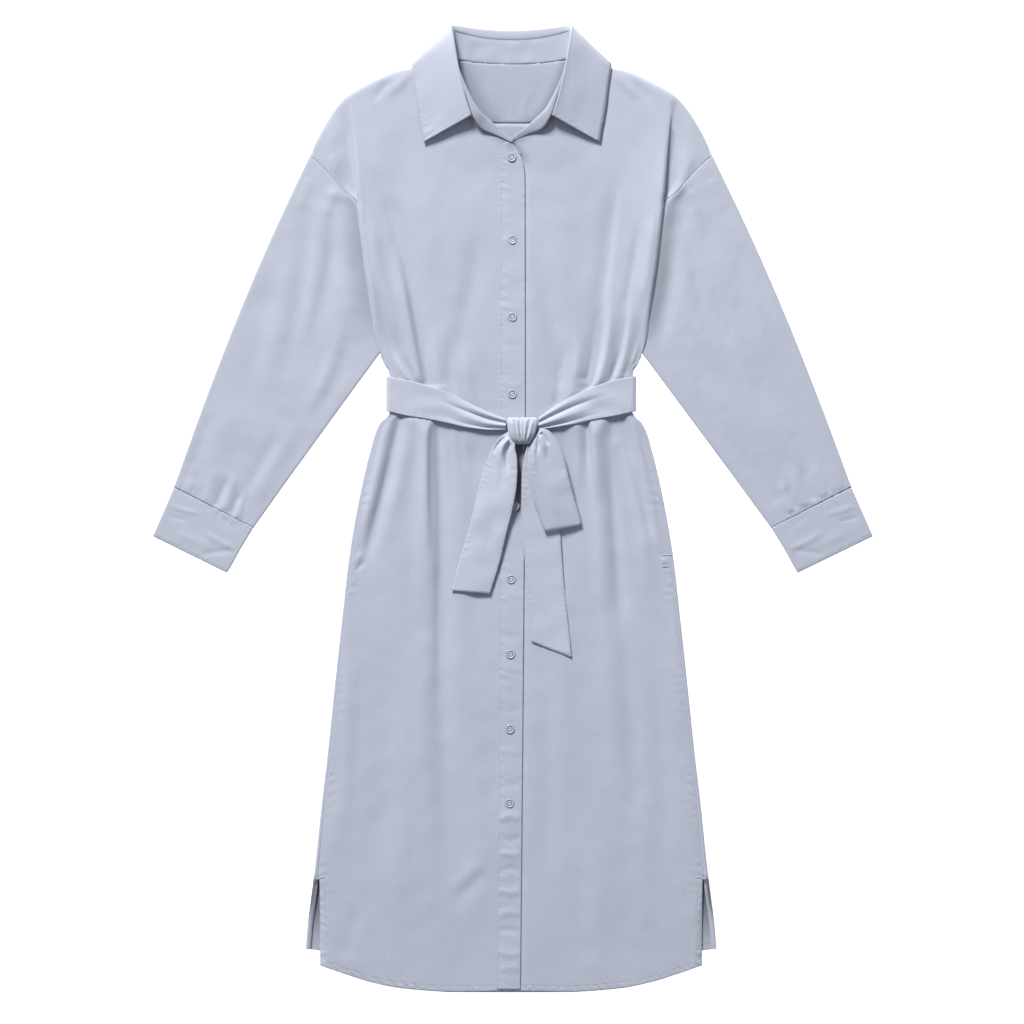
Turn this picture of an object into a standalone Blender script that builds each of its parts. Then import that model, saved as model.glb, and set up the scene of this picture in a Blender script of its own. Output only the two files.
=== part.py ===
"""A belted shirt dress laid flat on a surface, front up.

X runs across the dress, +Y points to the collar and +Z is up from the surface.
Every table below is in millimetres. A height is that of the cloth's middle,
half a wall above its underside. Sides are named as the wearer has them, so
the right front, sleeve and cuff are at negative X.
"""

import math

import bpy
import numpy as np

MM = 0.001

# Walls
CLOTH = 1.2
BELT_CLOTH = 1.6
SEAM_GAP = 0.3

# Levels of the cloth's middle above the surface
BACK_LEVEL = CLOTH / 2
COLLAR_RAISE = 1.75
SLEEVE_LEVEL = 4.2
FRONT_LEVEL = 5.3
NECK_LEVEL = 7.5
LAYER = CLOTH + SEAM_GAP

# Back panel
BELT_RAISE = 1.9
BELT_RAISE_TOP = 177.0
BELT_RAISE_BOTTOM = 124.0
BELT_RAISE_EASE = 32.0
SIDE_CURL_RADIUS = 1.9
BELT_CURL_RADIUS = 1.4
UNDERARM_Y = 205.0
SLIT_TOP_Y = -482.0

# Front panels
CHEST_Y = 366.0
ROLL = 5.0
FOLD_HEIGHT = 4.6
FOLD_RUN_OUT = 32.0
EDGE_ROUNDING = 8.0
SLEEVE_SEAM_TOP_Y = 413.0
SLEEVE_SEAM_EASE = 14.0
NECK_HALF_WIDTH = 77.0
SHOULDER_START = 80.0
NECK_RISE_Y = 430.0
NECK_RISE_EASE = 60.0
NECK_RISE_REACH = 110.0
NECK_RISE_RUN_OUT = 50.0
UNDER_BELT_TOP = 186.0
UNDER_BELT_BOTTOM = 92.0
UNDER_BELT_EASE = 12.0
UNDERLAP = 6.6

# Back yoke over the collar
YOKE_STEP_X = 162.0
YOKE_STEP_Y = 528.0

# Sleeves
SLEEVE_SHIFT = 2.2 * SEAM_GAP

# Buttons and knot
BUTTON_RADIUS = 6.0
BUTTON_SEGMENTS = 16
KNOT_SEGMENTS = 16
KNOT_SQUARENESS = 0.7

CLOTH_ROUGHNESS = 0.85
BUTTON_ROUGHNESS = 0.35

# Half widths of the dress's outline below the arms
SIDE = (
    # y, half_width
    (205.0, 169.5),
    (196.0, 168.0),
    (187.0, 163.0),
    (177.0, 157.6),
    (124.0, 157.6),
    (114.0, 169.0),
    (100.0, 176.0),
    (85.0, 180.5),
    (54.0, 188.5),
    (-8.0, 201.5),
    (-71.0, 211.5),
    (-133.0, 218.5),
    (-196.0, 225.5),
    (-258.0, 232.0),
    (-320.0, 238.5),
    (-383.0, 246.0),
    (-445.0, 252.0),
    (-482.0, 255.5),
    (-570.0, 255.5),
    (-630.0, 255.5),
)

# How far the side seam lies inside that outline
SEAM_INSET = (
    # y, inset
    (205.0, 0.5),
    (187.0, 3.0),
    (100.0, 4.2),
    (-320.0, 4.6),
    (-440.0, 5.5),
    (-482.0, 7.0),
    (-592.0, 9.2),
    (-640.0, 9.2),
)

# The armhole seam, from the shoulder's tip to the underarm
ARMHOLE = (
    # y, half_width
    (461.0, 260.8),
    (449.0, 247.0),
    (430.0, 228.8),
    (413.0, 214.5),
    (399.0, 199.0),
    (366.0, 188.5),
    (320.0, 180.0),
    (272.0, 174.5),
    (205.0, 169.5),
)

# The fold of the front panels that stands beside and over the armhole
FOLD_LINE = (
    # y, half_width
    (545.0, 213.0),
    (497.0, 206.7),
    (458.0, 203.5),
    (430.0, 201.5),
    (399.0, 198.8),
    (366.0, 195.5),
    (320.0, 190.0),
    (285.0, 184.8),
    (233.0, 176.5),
    (205.0, 169.8),
)

# The front neckline and the shoulder, from the centre out
NECKLINE = (
    # half_width, y
    (0.0, 477.0),
    (16.0, 490.0),
    (31.0, 498.5),
    (44.0, 511.0),
    (54.0, 533.0),
    (64.0, 558.0),
    (72.0, 577.0),
    (77.0, 586.0),
)
SHOULDER = (
    # half_width, y
    (77.0, 586.0),
    (100.0, 579.0),
    (127.0, 573.4),
    (140.0, 571.8),
    (153.0, 568.8),
    (187.0, 553.2),
    (213.0, 537.6),
    (227.5, 522.0),
    (238.0, 506.4),
    (247.0, 490.8),
    (254.8, 475.2),
    (260.8, 461.0),
)
BACK_NECK = (
    # half_width, y
    (0.0, 577.8),
    (27.0, 578.4),
    (55.0, 580.8),
    (73.0, 583.4),
    (77.0, 585.4),
)
YOKE_SEAM = (
    # half_width, y
    (0.0, 503.2),
    (60.0, 503.0),
    (140.0, 491.0),
    (200.0, 468.0),
    (247.0, 448.8),
)
FRONT_HEM = (
    # half_width, y
    (0.0, -624.8),
    (75.0, -626.2),
    (140.0, -621.8),
    (181.0, -613.8),
    (217.0, -602.6),
    (247.0, -592.3),
)
BACK_HEM = (
    # half_width, y
    (0.0, -628.6),
    (80.0, -627.6),
    (140.0, -617.0),
    (200.0, -594.0),
    (249.0, -573.0),
    (268.0, -570.5),
)

# The edge of the placket and the stitch line on its other side
PLACKET = (
    # y, stitch_x, edge_x
    (479.0, -6.5, 3.0),
    (471.0, -13.0, 10.0),
    (462.0, -14.5, 15.4),
    (447.0, -14.5, 17.6),
    (142.0, -14.5, 18.2),
    (-185.0, -15.8, 15.8),
    (-625.0, -19.0, 11.8),
)

# The folds of the front panels: each is a ridge, or a groove when its height
# is negative, whose line runs through three points
FOLDS = (
    # top_x, top_y, mid_x, mid_y, end_x, end_y, left_width, right_width, height
    (-198.0, 470.0, -184.0, 340.0, -150.0, 215.0, 16.0, 14.0, 1.8),
    (-190.0, 480.0, -147.0, 339.0, -113.0, 180.0, 13.0, 13.0, -2.0),
    (-140.0, 290.0, -126.0, 215.0, -116.0, 177.0, 9.0, 4.5, 3.4),
    (-153.0, 205.0, -145.0, 190.0, -140.0, 177.0, 5.0, 3.5, 2.4),
    (104.0, 420.0, 125.0, 300.0, 106.0, 180.0, 13.0, 13.0, -1.8),
    (178.0, 420.0, 176.0, 330.0, 150.0, 215.0, 15.0, 15.0, 1.6),
    (134.0, 270.0, 121.0, 208.0, 112.0, 177.0, 4.5, 8.0, 3.2),
    (160.0, 210.0, 146.0, 192.0, 140.0, 177.0, 3.5, 6.0, 2.6),
    (-116.0, 110.0, -117.0, 20.0, -117.0, -120.0, 10.0, 4.5, 3.6),
    (-104.0, 100.0, -104.0, -60.0, -92.0, -420.0, 6.0, 12.0, -2.2),
    (-139.0, 112.0, -158.0, 46.0, -186.0, -75.0, 6.0, 9.0, -2.4),
    (113.0, 110.0, 116.0, 45.0, 124.0, -140.0, 4.5, 10.0, 3.4),
    (122.0, 60.0, 124.0, -90.0, 155.0, -460.0, 9.0, 12.0, -2.0),
    (141.0, 112.0, 160.0, 49.0, 185.0, -45.0, 8.0, 6.0, -2.2),
)
FOLD_EASE = 34.0

# The sleeves: their outer and inner edges from the armhole to the cuff seam
SLEEVE_EDGES = (
    # along, outer_x, outer_y, inner_x, inner_y
    (0.0, 260.8, 461.0, 169.5, 205.0),
    (0.25, 309.0, 358.5, 209.8, 150.0),
    (0.5, 354.5, 252.0, 252.0, 92.0),
    (0.75, 397.5, 141.0, 294.0, 34.0),
    (1.0, 438.1, 28.5, 335.4, -24.0),
)
LEFT_SLEEVE_STRETCH = 0.01
SLEEVE_FOLDS = (
    # across_at_armhole, across_at_cuff, width, height
    (0.26, 0.42, 0.075, 1.5),
    (0.52, 0.60, 0.060, -1.2),
    (0.78, 0.74, 0.070, 1.6),
)
CUFF_EDGES = (
    # along, outer_x, outer_y, inner_x, inner_y
    (0.0, 438.5, 27.4, 335.8, -24.8),
    (0.45, 450.4, -0.2, 351.5, -50.5),
    (0.92, 463.0, -29.3, 366.4, -78.2),
    (1.0, 463.4, -35.2, 371.5, -81.4),
)

# The collar leaf, from the centre back round to its front end: where its lip
# ends inside the neck, its roll, its outer edge, and the height just past
# the roll
LEAF = (
    # lip_x, lip_y, lip_z, roll_x, roll_y, roll_z, edge_x, edge_y, edge_z, knee_z
    (0.0, 609.5, 3.9, 0.0, 622.0, 2.35, 0.0, 558.4, 0.7, 0.7),
    (28.0, 610.5, 3.9, 28.0, 623.4, 2.35, 32.0, 558.6, 0.7, 0.7),
    (52.5, 617.0, 4.2, 54.0, 626.2, 2.65, 66.0, 559.5, 0.7, 0.7),
    (69.5, 624.8, 6.2, 71.5, 629.0, 4.6, 110.0, 567.8, 0.7, 0.9),
    (75.0, 625.6, 9.8, 77.0, 629.2, 8.0, 125.5, 578.0, 1.7, 4.0),
    (76.6, 623.5, 13.6, 78.8, 627.0, 12.4, 129.6, 579.4, 6.0, 10.0),
    (75.2, 614.0, 16.6, 77.6, 618.0, 16.4, 129.6, 571.5, 9.4, 15.6),
    (73.2, 596.5, 19.8, 74.6, 597.5, 20.0, 126.5, 551.5, 9.9, 19.4),
    (66.4, 560.3, 21.1, 67.4, 561.0, 21.3, 122.2, 519.0, 9.8, 20.6),
    (60.0, 534.4, 21.1, 61.0, 535.0, 21.3, 117.8, 493.5, 9.6, 20.6),
    (52.3, 510.9, 20.1, 53.2, 510.6, 20.2, 114.4, 477.0, 9.4, 19.4),
)
COLLAR_CENTRE_X = 1.0

# The collar stand: its top edge, the line it rolls about and its neck seam
STAND = (
    # top_x, top_y, top_z, roll_x, roll_y, roll_z, seam_x, seam_y, seam_z
    (0.0, 615.0, 2.4, 0.0, 598.0, 2.35, 0.0, 578.5, 2.25),
    (28.0, 616.2, 2.4, 28.0, 598.6, 2.35, 27.0, 579.1, 2.25),
    (50.0, 619.6, 2.5, 51.0, 600.6, 2.5, 51.0, 581.6, 2.4),
    (62.0, 619.6, 3.6, 62.6, 602.0, 3.4, 65.0, 584.2, 3.0),
    (69.0, 617.6, 7.6, 68.6, 602.4, 6.6, 70.6, 587.4, 5.2),
    (71.8, 609.6, 13.6, 69.4, 599.4, 12.0, 72.0, 588.6, 7.6),
    (71.0, 596.0, 18.8, 67.4, 592.0, 17.8, 72.6, 586.4, 9.4),
    (64.6, 560.0, 20.2, 59.0, 558.0, 20.2, 65.0, 559.0, 9.6),
    (58.2, 534.6, 20.2, 50.2, 534.2, 20.4, 55.6, 534.5, 9.6),
    (50.6, 511.2, 19.4, 42.6, 518.6, 19.8, 46.0, 514.2, 9.6),
    (37.4, 494.0, 17.0, 31.2, 507.2, 18.0, 33.8, 501.6, 9.6),
    (24.6, 489.0, 14.8, 17.4, 495.6, 15.2, 20.4, 492.8, 9.4),
    (7.6, 477.2, 11.6, 3.6, 481.2, 11.9, 6.0, 479.2, 9.4),
)

# The belt's band, from the knot round the back and to the knot again
BAND = (
    # x, top_y, bottom_y, z
    (-6.6, 118.0, 103.8, 10.6),
    (-27.0, 125.5, 103.4, 9.4),
    (-57.0, 139.8, 106.4, 8.0),
    (-84.5, 152.8, 112.6, 7.5),
    (-110.5, 161.9, 117.6, 7.35),
    (-136.5, 168.4, 121.8, 7.3),
    (-156.4, 172.2, 126.6, 7.2),
    (-160.6, 173.0, 127.8, 6.1),
    (-161.9, 173.4, 128.0, 4.0),
    (-160.6, 173.2, 128.2, 1.9),
    (-156.4, 173.0, 128.4, 0.8),
    (-60.0, 172.4, 127.4, 0.8),
    (60.0, 172.4, 127.4, 0.8),
    (156.4, 173.0, 128.4, 0.8),
    (160.6, 173.2, 128.2, 1.9),
    (161.9, 173.4, 128.0, 4.0),
    (160.6, 173.0, 127.8, 6.1),
    (156.4, 172.2, 126.2, 7.2),
    (136.5, 169.0, 121.8, 7.3),
    (107.9, 159.3, 116.6, 7.35),
    (77.4, 146.3, 110.0, 7.5),
    (52.0, 130.7, 106.0, 8.4),
    (35.8, 119.3, 103.8, 10.6),
)

# The knot's outline from its top to its bottom
KNOT = (
    # y, centre_x, half_width, low_z, high_z
    (119.6, 14.6, 12.0, 10.5, 14.5),
    (117.0, 14.6, 18.6, 8.6, 18.0),
    (109.0, 14.6, 19.8, 8.2, 20.5),
    (100.0, 14.4, 17.6, 8.2, 21.0),
    (91.0, 14.2, 13.0, 8.2, 19.5),
    (86.0, 14.2, 9.4, 9.0, 16.0),
    (84.8, 14.2, 6.0, 10.8, 13.4),
)

# The tails and the loop: both long edges of each strip, from the knot down
RIGHT_TAIL = (
    # left_x, left_y, left_z, right_x, right_y, right_z
    (-5.6, 100.4, 10.8, 0.2, 87.2, 11.4),
    (-15.6, 92.3, 10.2, 5.0, 80.0, 11.6),
    (-26.0, 76.1, 8.6, 7.8, 66.5, 11.0),
    (-32.5, 60.5, 7.4, 8.2, 52.0, 10.8),
    (-39.7, 37.1, 7.0, 7.4, 32.0, 11.0),
    (-46.8, 7.2, 7.0, 2.6, 4.0, 11.3),
    (-55.9, -30.6, 7.0, -5.6, -30.0, 9.6),
    (-66.3, -65.7, 7.0, -14.3, -67.0, 8.6),
    (-76.7, -106.0, 7.0, -27.3, -109.9, 7.6),
)
LEFT_TAIL = (
    # left_x, left_y, left_z, right_x, right_y, right_z
    (20.6, 81.5, 9.3, 47.0, 86.0, 8.0),
    (17.0, 67.0, 8.8, 55.0, 70.0, 7.4),
    (14.3, 46.2, 8.8, 59.0, 46.0, 7.2),
    (13.7, 18.9, 8.8, 61.0, 18.0, 7.2),
    (14.3, -11.1, 8.8, 63.0, -12.0, 7.2),
    (16.4, -41.0, 8.8, 65.0, -42.0, 7.2),
    (19.5, -94.3, 8.0, 69.0, -96.0, 7.0),
    (23.4, -136.0, 7.2, 74.0, -144.0, 7.0),
    (26.5, -171.6, 7.0, 79.0, -192.7, 7.0),
)
LOOP = (
    # left_x, left_y, left_z, right_x, right_y, right_z
    (33.5, 94.6, 16.4, 37.5, 106.0, 16.0),
    (27.6, 86.0, 17.6, 48.0, 103.0, 17.4),
    (24.0, 78.0, 18.0, 57.5, 92.0, 17.6),
    (23.4, 64.4, 17.6, 66.0, 75.0, 17.0),
    (26.0, 41.0, 16.6, 73.5, 47.0, 16.2),
    (32.0, 11.7, 15.6, 81.5, 16.0, 15.0),
    (38.5, -13.0, 14.8, 88.0, -6.0, 14.2),
    (43.4, -26.6, 13.8, 90.8, -17.6, 13.4),
    (44.2, -29.3, 12.0, 91.2, -19.8, 11.8),
    (43.0, -26.6, 10.4, 90.4, -17.4, 10.2),
    (37.6, -13.0, 9.8, 87.0, -6.0, 9.4),
    (29.6, 12.0, 10.8, 79.6, 16.0, 9.8),
    (24.2, 41.0, 11.2, 71.0, 47.0, 10.2),
    (23.0, 64.0, 11.4, 63.0, 74.0, 10.6),
    (24.8, 78.0, 11.8, 53.0, 90.0, 11.4),
    (30.2, 88.0, 12.4, 45.0, 100.0, 12.4),
)

# The buttons down the front
BUTTONS = (
    # number, x, y
    (1, 0.8, 457.6),
    (2, 1.8, 350.4),
    (3, 1.8, 250.3),
    (4, 1.8, 150.2),
    (5, 5.2, 4.6),
    (6, 0.3, -90.4),
    (7, -0.6, -187.9),
    (8, -1.3, -285.4),
    (9, -1.9, -381.6),
)
BUTTON_PROFILE = (
    # radius, z
    (0.0, 1.3),
    (1.4, 1.2),
    (2.2, 0.8),
    (3.1, 0.9),
    (3.7, 1.9),
    (5.2, 2.1),
    (6.0, 1.3),
    (5.6, 0.4),
    (4.0, 0.0),
    (0.0, 0.0),
)

BLUE = (0.50, 0.54, 0.65, 1.0)
BLUE_SHADE = (0.45, 0.49, 0.60, 1.0)
BLUE_LIGHT = (0.53, 0.57, 0.68, 1.0)
BUTTON_BLUE = (0.42, 0.46, 0.56, 1.0)


def ease(t):
    """0 below 0, 1 above 1, and a smooth step between."""
    t = np.clip(t, 0.0, 1.0)
    return t * t * (3.0 - 2.0 * t)


def rounded(t):
    """A quarter circle that rises from 0 to 1."""
    t = np.clip(t, 0.0, 1.0)
    return np.sqrt(1.0 - (1.0 - t) ** 2)


def column(table, index):
    return np.array([row[index] for row in table], float)


def look_up(table, at, index=1):
    """A column of a table at the values of its first column."""
    keys = column(table, 0)
    values = column(table, index)
    order = np.argsort(keys)
    return np.interp(at, keys[order], values[order])


def spline(table, samples):
    """Smooth curve through a table's rows, as (samples, columns)."""
    rows = np.array(table, float)
    last = len(rows) - 1
    at = np.linspace(0.0, last, samples)
    i = np.minimum(at.astype(int), last - 1)
    t = (at - i)[:, None]
    before = rows[np.maximum(i - 1, 0)]
    start = rows[i]
    end = rows[i + 1]
    after = rows[np.minimum(i + 2, last)]
    return 0.5 * (
        2.0 * start
        + (end - before) * t
        + (2.0 * before - 5.0 * start + 4.0 * end - after) * t**2
        + (3.0 * start - before - 3.0 * end + after) * t**3
    )


def belt_press(y):
    """1 where the belt holds the dress in, easing to 0 above and below."""
    below_top = ease((BELT_RAISE_TOP + BELT_RAISE_EASE - y) / BELT_RAISE_EASE)
    above_bottom = ease((y - BELT_RAISE_BOTTOM + BELT_RAISE_EASE) / BELT_RAISE_EASE)
    return below_top * above_bottom


def curl_radius(y):
    return SIDE_CURL_RADIUS + (BELT_CURL_RADIUS - SIDE_CURL_RADIUS) * belt_press(y)


def back_height(y):
    return BACK_LEVEL + BELT_RAISE * belt_press(y)


def yoke_height(x, y):
    """The yoke lies on the back of the collar and eases down around it."""
    over_collar = ease((YOKE_STEP_X - np.abs(x)) / 30.0) * ease((y - YOKE_STEP_Y) / 26.0)
    return BACK_LEVEL + COLLAR_RAISE * over_collar


def seam_height(y):
    """The height at which the front meets the curled side of the back."""
    return back_height(y) + 2.0 * curl_radius(y)


def front_edge(y):
    """Half width of the front panels at each height."""
    armhole = np.where(y > 399.0, look_up(ARMHOLE, y) - SEAM_GAP, look_up(FOLD_LINE, y))
    side = look_up(SIDE, y) - look_up(SEAM_INSET, y) - SEAM_GAP
    return np.where(y > UNDERARM_Y, armhole, side)


def front_top(x):
    """The neckline and the shoulder over each half width."""
    return np.where(x < NECK_HALF_WIDTH, look_up(NECKLINE, x), look_up(SHOULDER, x))


def fold_sum(x, y):
    """The ridges and grooves of the front, summed."""
    total = np.zeros(np.broadcast(x, y).shape)
    for row in FOLDS:
        line = ((row[1], row[0]), (row[3], row[2]), (row[5], row[4]))
        away = x - look_up(line, y)
        width = np.where(away < 0.0, row[6], row[7])
        fade = ease((row[1] + FOLD_EASE - y) / FOLD_EASE)
        fade = fade * ease((y - row[5] + FOLD_EASE) / FOLD_EASE)
        total = total + row[8] * fade * np.exp(-((away / width) ** 2))
    return total


def front_height(x, y):
    """The height of the front's cloth: a flat level, the fold beside the
    armhole, the soft folds, and edges rounded down to their seams."""
    half = np.abs(x)
    near = front_edge(y) - half
    fold_near = look_up(FOLD_LINE, y) - half
    arm_part = ease((y - UNDERARM_Y) / 40.0) * ease((560.0 - y) / 60.0)
    crest = rounded(fold_near / ROLL)
    crest = crest * np.exp(-np.maximum(fold_near - ROLL, 0.0) / FOLD_RUN_OUT)
    level = np.where(fold_near < 0.0, SLEEVE_LEVEL, FRONT_LEVEL)
    neck = ease((y - NECK_RISE_Y) / NECK_RISE_EASE)
    neck = neck * ease((NECK_RISE_REACH - half) / NECK_RISE_RUN_OUT)
    level = level + (NECK_LEVEL - FRONT_LEVEL) * neck
    at_edge = SLEEVE_LEVEL + LAYER * ease((SLEEVE_SEAM_TOP_Y - y) / SLEEVE_SEAM_EASE)
    at_edge = at_edge + (seam_height(y) - at_edge) * ease((UNDERARM_Y + 10.0 - y) / 24.0)
    belt = ease((y - UNDER_BELT_BOTTOM) / UNDER_BELT_EASE)
    belt = belt * ease((UNDER_BELT_TOP - y) / UNDER_BELT_EASE)
    height = at_edge + (level - at_edge) * rounded(near / EDGE_ROUNDING)
    height = height + FOLD_HEIGHT * arm_part * crest
    height = height + fold_sum(x, y) * (1.0 - belt) * ease(near / 12.0)
    at_shoulder = yoke_height(x, y) + LAYER
    below = rounded((front_top(half) - y) / EDGE_ROUNDING)
    at_seam = at_shoulder + (height - at_shoulder) * below
    return np.where(half > SHOULDER_START, at_seam, height)


def material(name, colour, roughness):
    made = bpy.data.materials.new(name)
    made.use_nodes = True
    shader = made.node_tree.nodes["Principled BSDF"]
    shader.inputs["Base Color"].default_value = colour
    shader.inputs["Roughness"].default_value = roughness
    shader.inputs["Metallic"].default_value = 0.0
    return made


def named_object(name, points, faces, colour, roughness):
    mesh = bpy.data.meshes.new(name)
    mesh.from_pydata((np.asarray(points, float) * MM).tolist(), [], faces)
    mesh.update()
    made = bpy.data.objects.new(name, mesh)
    bpy.context.scene.collection.objects.link(made)
    mesh.materials.append(material(name, colour, roughness))
    mesh.shade_smooth()
    return made


def grid_faces(rows, columns, closed=False):
    """Quads of a grid of points; a closed one joins its last column to its first."""
    faces = []
    wide = columns if closed else columns - 1
    for r in range(rows - 1):
        for c in range(wide):
            right = (c + 1) % columns
            a = r * columns + c
            b = r * columns + right
            faces.append((a, a + columns, b + columns, b))
    return faces


def cloth(name, grid, colour, wall=CLOTH, closed=False):
    """A wall of cloth whose middle is a grid of points, (rows, columns, 3)."""
    rows, columns = grid.shape[:2]
    faces = grid_faces(rows, columns, closed)
    made = named_object(name, grid.reshape(-1, 3), faces, colour, CLOTH_ROUGHNESS)
    wall_maker = made.modifiers.new("wall", "SOLIDIFY")
    wall_maker.thickness = wall * MM
    wall_maker.offset = 0.0
    wall_maker.use_even_offset = False
    return made


def stack(x, y, z):
    x, y, z = np.broadcast_arrays(x, y, z)
    return np.stack([x, y, z], axis=-1)


# Where the columns of a front panel start on the neckline and the shoulder,
# and where they run lower down: as shares of the way to the armhole's fold,
# then as distances from that fold, where it stands clear of the seam and
# where it lies on it
TOP_XS = (0, 14, 30, 46, 60, 77, 108, 140, 170, 192, 206, 213, 224, 236, 248, 260.5)
INNER_SHARES = (0.0, 0.10, 0.2, 0.3, 0.42, 0.54, 0.64, 0.74, 0.83, 0.91, 1.0)
CREST_INSET = 9.0
CLEAR_FOLD = (-4.0, -1.4, 0.2)
AT_SEAM = (-6.0, -3.4, -1.8, -0.7, 0.0)

# The rows of the panels: shares of the way down to the chest, then level rows
FRONT_TOP_SHARES = (0.0, 0.012, 0.04, 0.126, 0.326, 0.505, 0.653, 0.83)
BACK_TOP_SHARES = (0.0, 0.229, 0.434, 0.602)
LEVEL_ROWS = (
    *(366.0, 344.0, 320.0, 296.0, 272.0, 240.0, 214.0, 205.0, 196.0, 187.0, 177.0),
    *(150.0, 124.0, 114.0, 100.0, 85.0, 54.0, 20.0, -12.0, -50.0, -92.0, -140.0),
    *(-200.0, -270.0, -345.0, -415.0, -470.0, -482.0, -508.0, -539.0),
)


def front_columns(y):
    """Half width of each column of a front panel at the heights y."""
    edge = front_edge(y)
    fold = np.where(y < UNDERARM_Y, edge, np.minimum(look_up(FOLD_LINE, y), edge))
    beyond = edge - fold
    clear = [fold + inset for inset in CLEAR_FOLD] + [fold + 0.5 * beyond, edge]
    at_seam = [edge + inset for inset in AT_SEAM]
    part = ease((beyond - 2.0) / 8.0)
    columns = [(fold - CREST_INSET) * share for share in INNER_SHARES]
    columns += [a + (b - a) * part for a, b in zip(at_seam, clear)]
    return np.stack(columns, axis=-1)


def front_plan(side):
    """X and Y of a front panel's grid, side -1 for the wearer's right and 1
    for the left: from the neckline and shoulder down to level rows at the
    chest, and on to the hem."""
    top_x = np.array(TOP_XS, float)
    top_y = front_top(top_x)
    xs = []
    ys = []
    for share in FRONT_TOP_SHARES:
        y = top_y + (CHEST_Y - top_y) * share
        level = np.diagonal(front_columns(y))
        blended = top_x + (level - top_x) * ease(share / 0.12)
        xs.append(np.minimum(blended, front_edge(y)))
        ys.append(y)
    for y in LEVEL_ROWS:
        xs.append(front_columns(np.array(y)))
        ys.append(np.full(len(top_x), y))
    hem_x = front_columns(np.array(FRONT_HEM[-1][1]))
    xs.append(hem_x)
    ys.append(look_up(FRONT_HEM, hem_x))
    return side * np.array(xs), np.array(ys)


def right_front():
    """The upper front: its first column follows the placket's edge."""
    x, y = front_plan(-1)
    edge = look_up(PLACKET, y, 2) - 1.0
    for k, part in enumerate((1.0, 0.45, 0.1)):
        x[:, k] += edge[:, k] * part
    return cloth("front_right", stack(x, y, front_height(x, y)), BLUE)


def left_front():
    """The lower front: it runs on under the placket, one layer down."""
    x, y = front_plan(1)
    edge = look_up(PLACKET, y, 2)
    x[:, 0] = look_up(PLACKET, y[:, 0], 1) + 1.0
    x[:, 1] = edge[:, 1] + UNDERLAP - 6.0
    x[:, 2] = edge[:, 2] + UNDERLAP
    under = ease((edge + UNDERLAP - x) / 6.0)
    return cloth("front_left", stack(x, y, front_height(x, y) - LAYER * under), BLUE)


def placket():
    """The strip along the upper front's edge, one layer above its points."""
    corner = (478.6, 474.0, 467.0, 458.0, 446.0, 430.0, 400.0)
    ys = np.array([*corner, *LEVEL_ROWS, -590.0, -624.4])
    left = look_up(PLACKET, ys, 1)
    right = look_up(PLACKET, ys, 2)
    x = np.stack([left, (left + right) / 2, right], axis=1)
    y = np.repeat(ys[:, None], 3, axis=1)
    return cloth("placket", stack(x, y, front_height(x, y) + LAYER), BLUE_LIGHT)


# How far the back's side edge is rolled up, in degrees: half a turn where it
# meets the front, opening down the slit, and none beside the armhole
CURL_ANGLE = (
    # y, degrees
    (-625.0, 4.0),
    (-571.0, 8.0),
    (-539.0, 40.0),
    (-508.0, 66.0),
    (-488.0, 150.0),
    (-482.0, 180.0),
    (187.0, 180.0),
    (196.0, 60.0),
    (205.0, 0.0),
)
SLIT_EDGE_LENGTH = 12.4
FLAT_SHARES = (0.0, 0.2, 0.4, 0.6, 0.8, 0.93, 1.0)


def curl_length(y):
    inset = look_up(SEAM_INSET, y)
    radius = curl_radius(y)
    length = math.pi * radius + np.maximum(inset - radius, 0.4)
    length = np.where(y < SLIT_TOP_Y, SLIT_EDGE_LENGTH, length)
    return np.where(y >= UNDERARM_Y, 1.5, length)


def back_rows(y):
    """X and Z across one half of the back at the heights y: the flat part,
    then the edge rolled up as an arc with a short straight end."""
    angle = np.radians(look_up(CURL_ANGLE, y))
    radius = curl_radius(y)
    length = curl_length(y)
    side = look_up(SIDE, y) - radius
    edge = np.where(y >= UNDERARM_Y, look_up(ARMHOLE, y) - SEAM_GAP - length, side)
    base = back_height(y)
    bend = np.minimum(math.pi * radius, 0.85 * length)
    xs = [edge * share for share in FLAT_SHARES]
    zs = [base for _ in FLAT_SHARES]
    for part in (0.25, 0.5, 0.75, 1.0):
        turned = np.maximum(angle * part, 1e-4)
        xs.append(edge + bend * part * np.sin(turned) / turned)
        zs.append(base + bend * part * (1.0 - np.cos(turned)) / turned)
    xs.append(xs[-1] + (length - bend) * np.cos(angle))
    zs.append(zs[-1] + (length - bend) * np.sin(angle))
    return np.stack(xs, axis=-1), np.stack(zs, axis=-1)


def both_sides(x, z):
    """Rows of one half, as rows from the right side to the left."""
    return np.concatenate([-x[:, :0:-1], x], 1), np.concatenate([z[:, :0:-1], z], 1)


def back_panel():
    ys = np.array(LEVEL_ROWS)
    x, z = both_sides(*back_rows(ys))
    level = stack(x, ys[:, None], z)
    share = x[0] / x[0].max()
    seam_x = share * (YOKE_SEAM[-1][0] - SEAM_GAP)
    seam_y = look_up(YOKE_SEAM, np.abs(seam_x)) - SEAM_GAP / 2
    top = []
    for fraction in BACK_TOP_SHARES:
        y = seam_y + (CHEST_Y - seam_y) * fraction
        row_x = share * (look_up(ARMHOLE, y) - SEAM_GAP) if fraction else seam_x
        top.append(stack(row_x, y, BACK_LEVEL))
    hem_x, hem_z = both_sides(*back_rows(np.array([BACK_HEM[-1][1]])))
    hem = stack(hem_x[0], look_up(BACK_HEM, np.abs(hem_x[0])), hem_z[0])
    grid = np.concatenate([np.array(top), level, hem[None]])
    return cloth("back_panel", grid, BLUE_SHADE)


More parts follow.
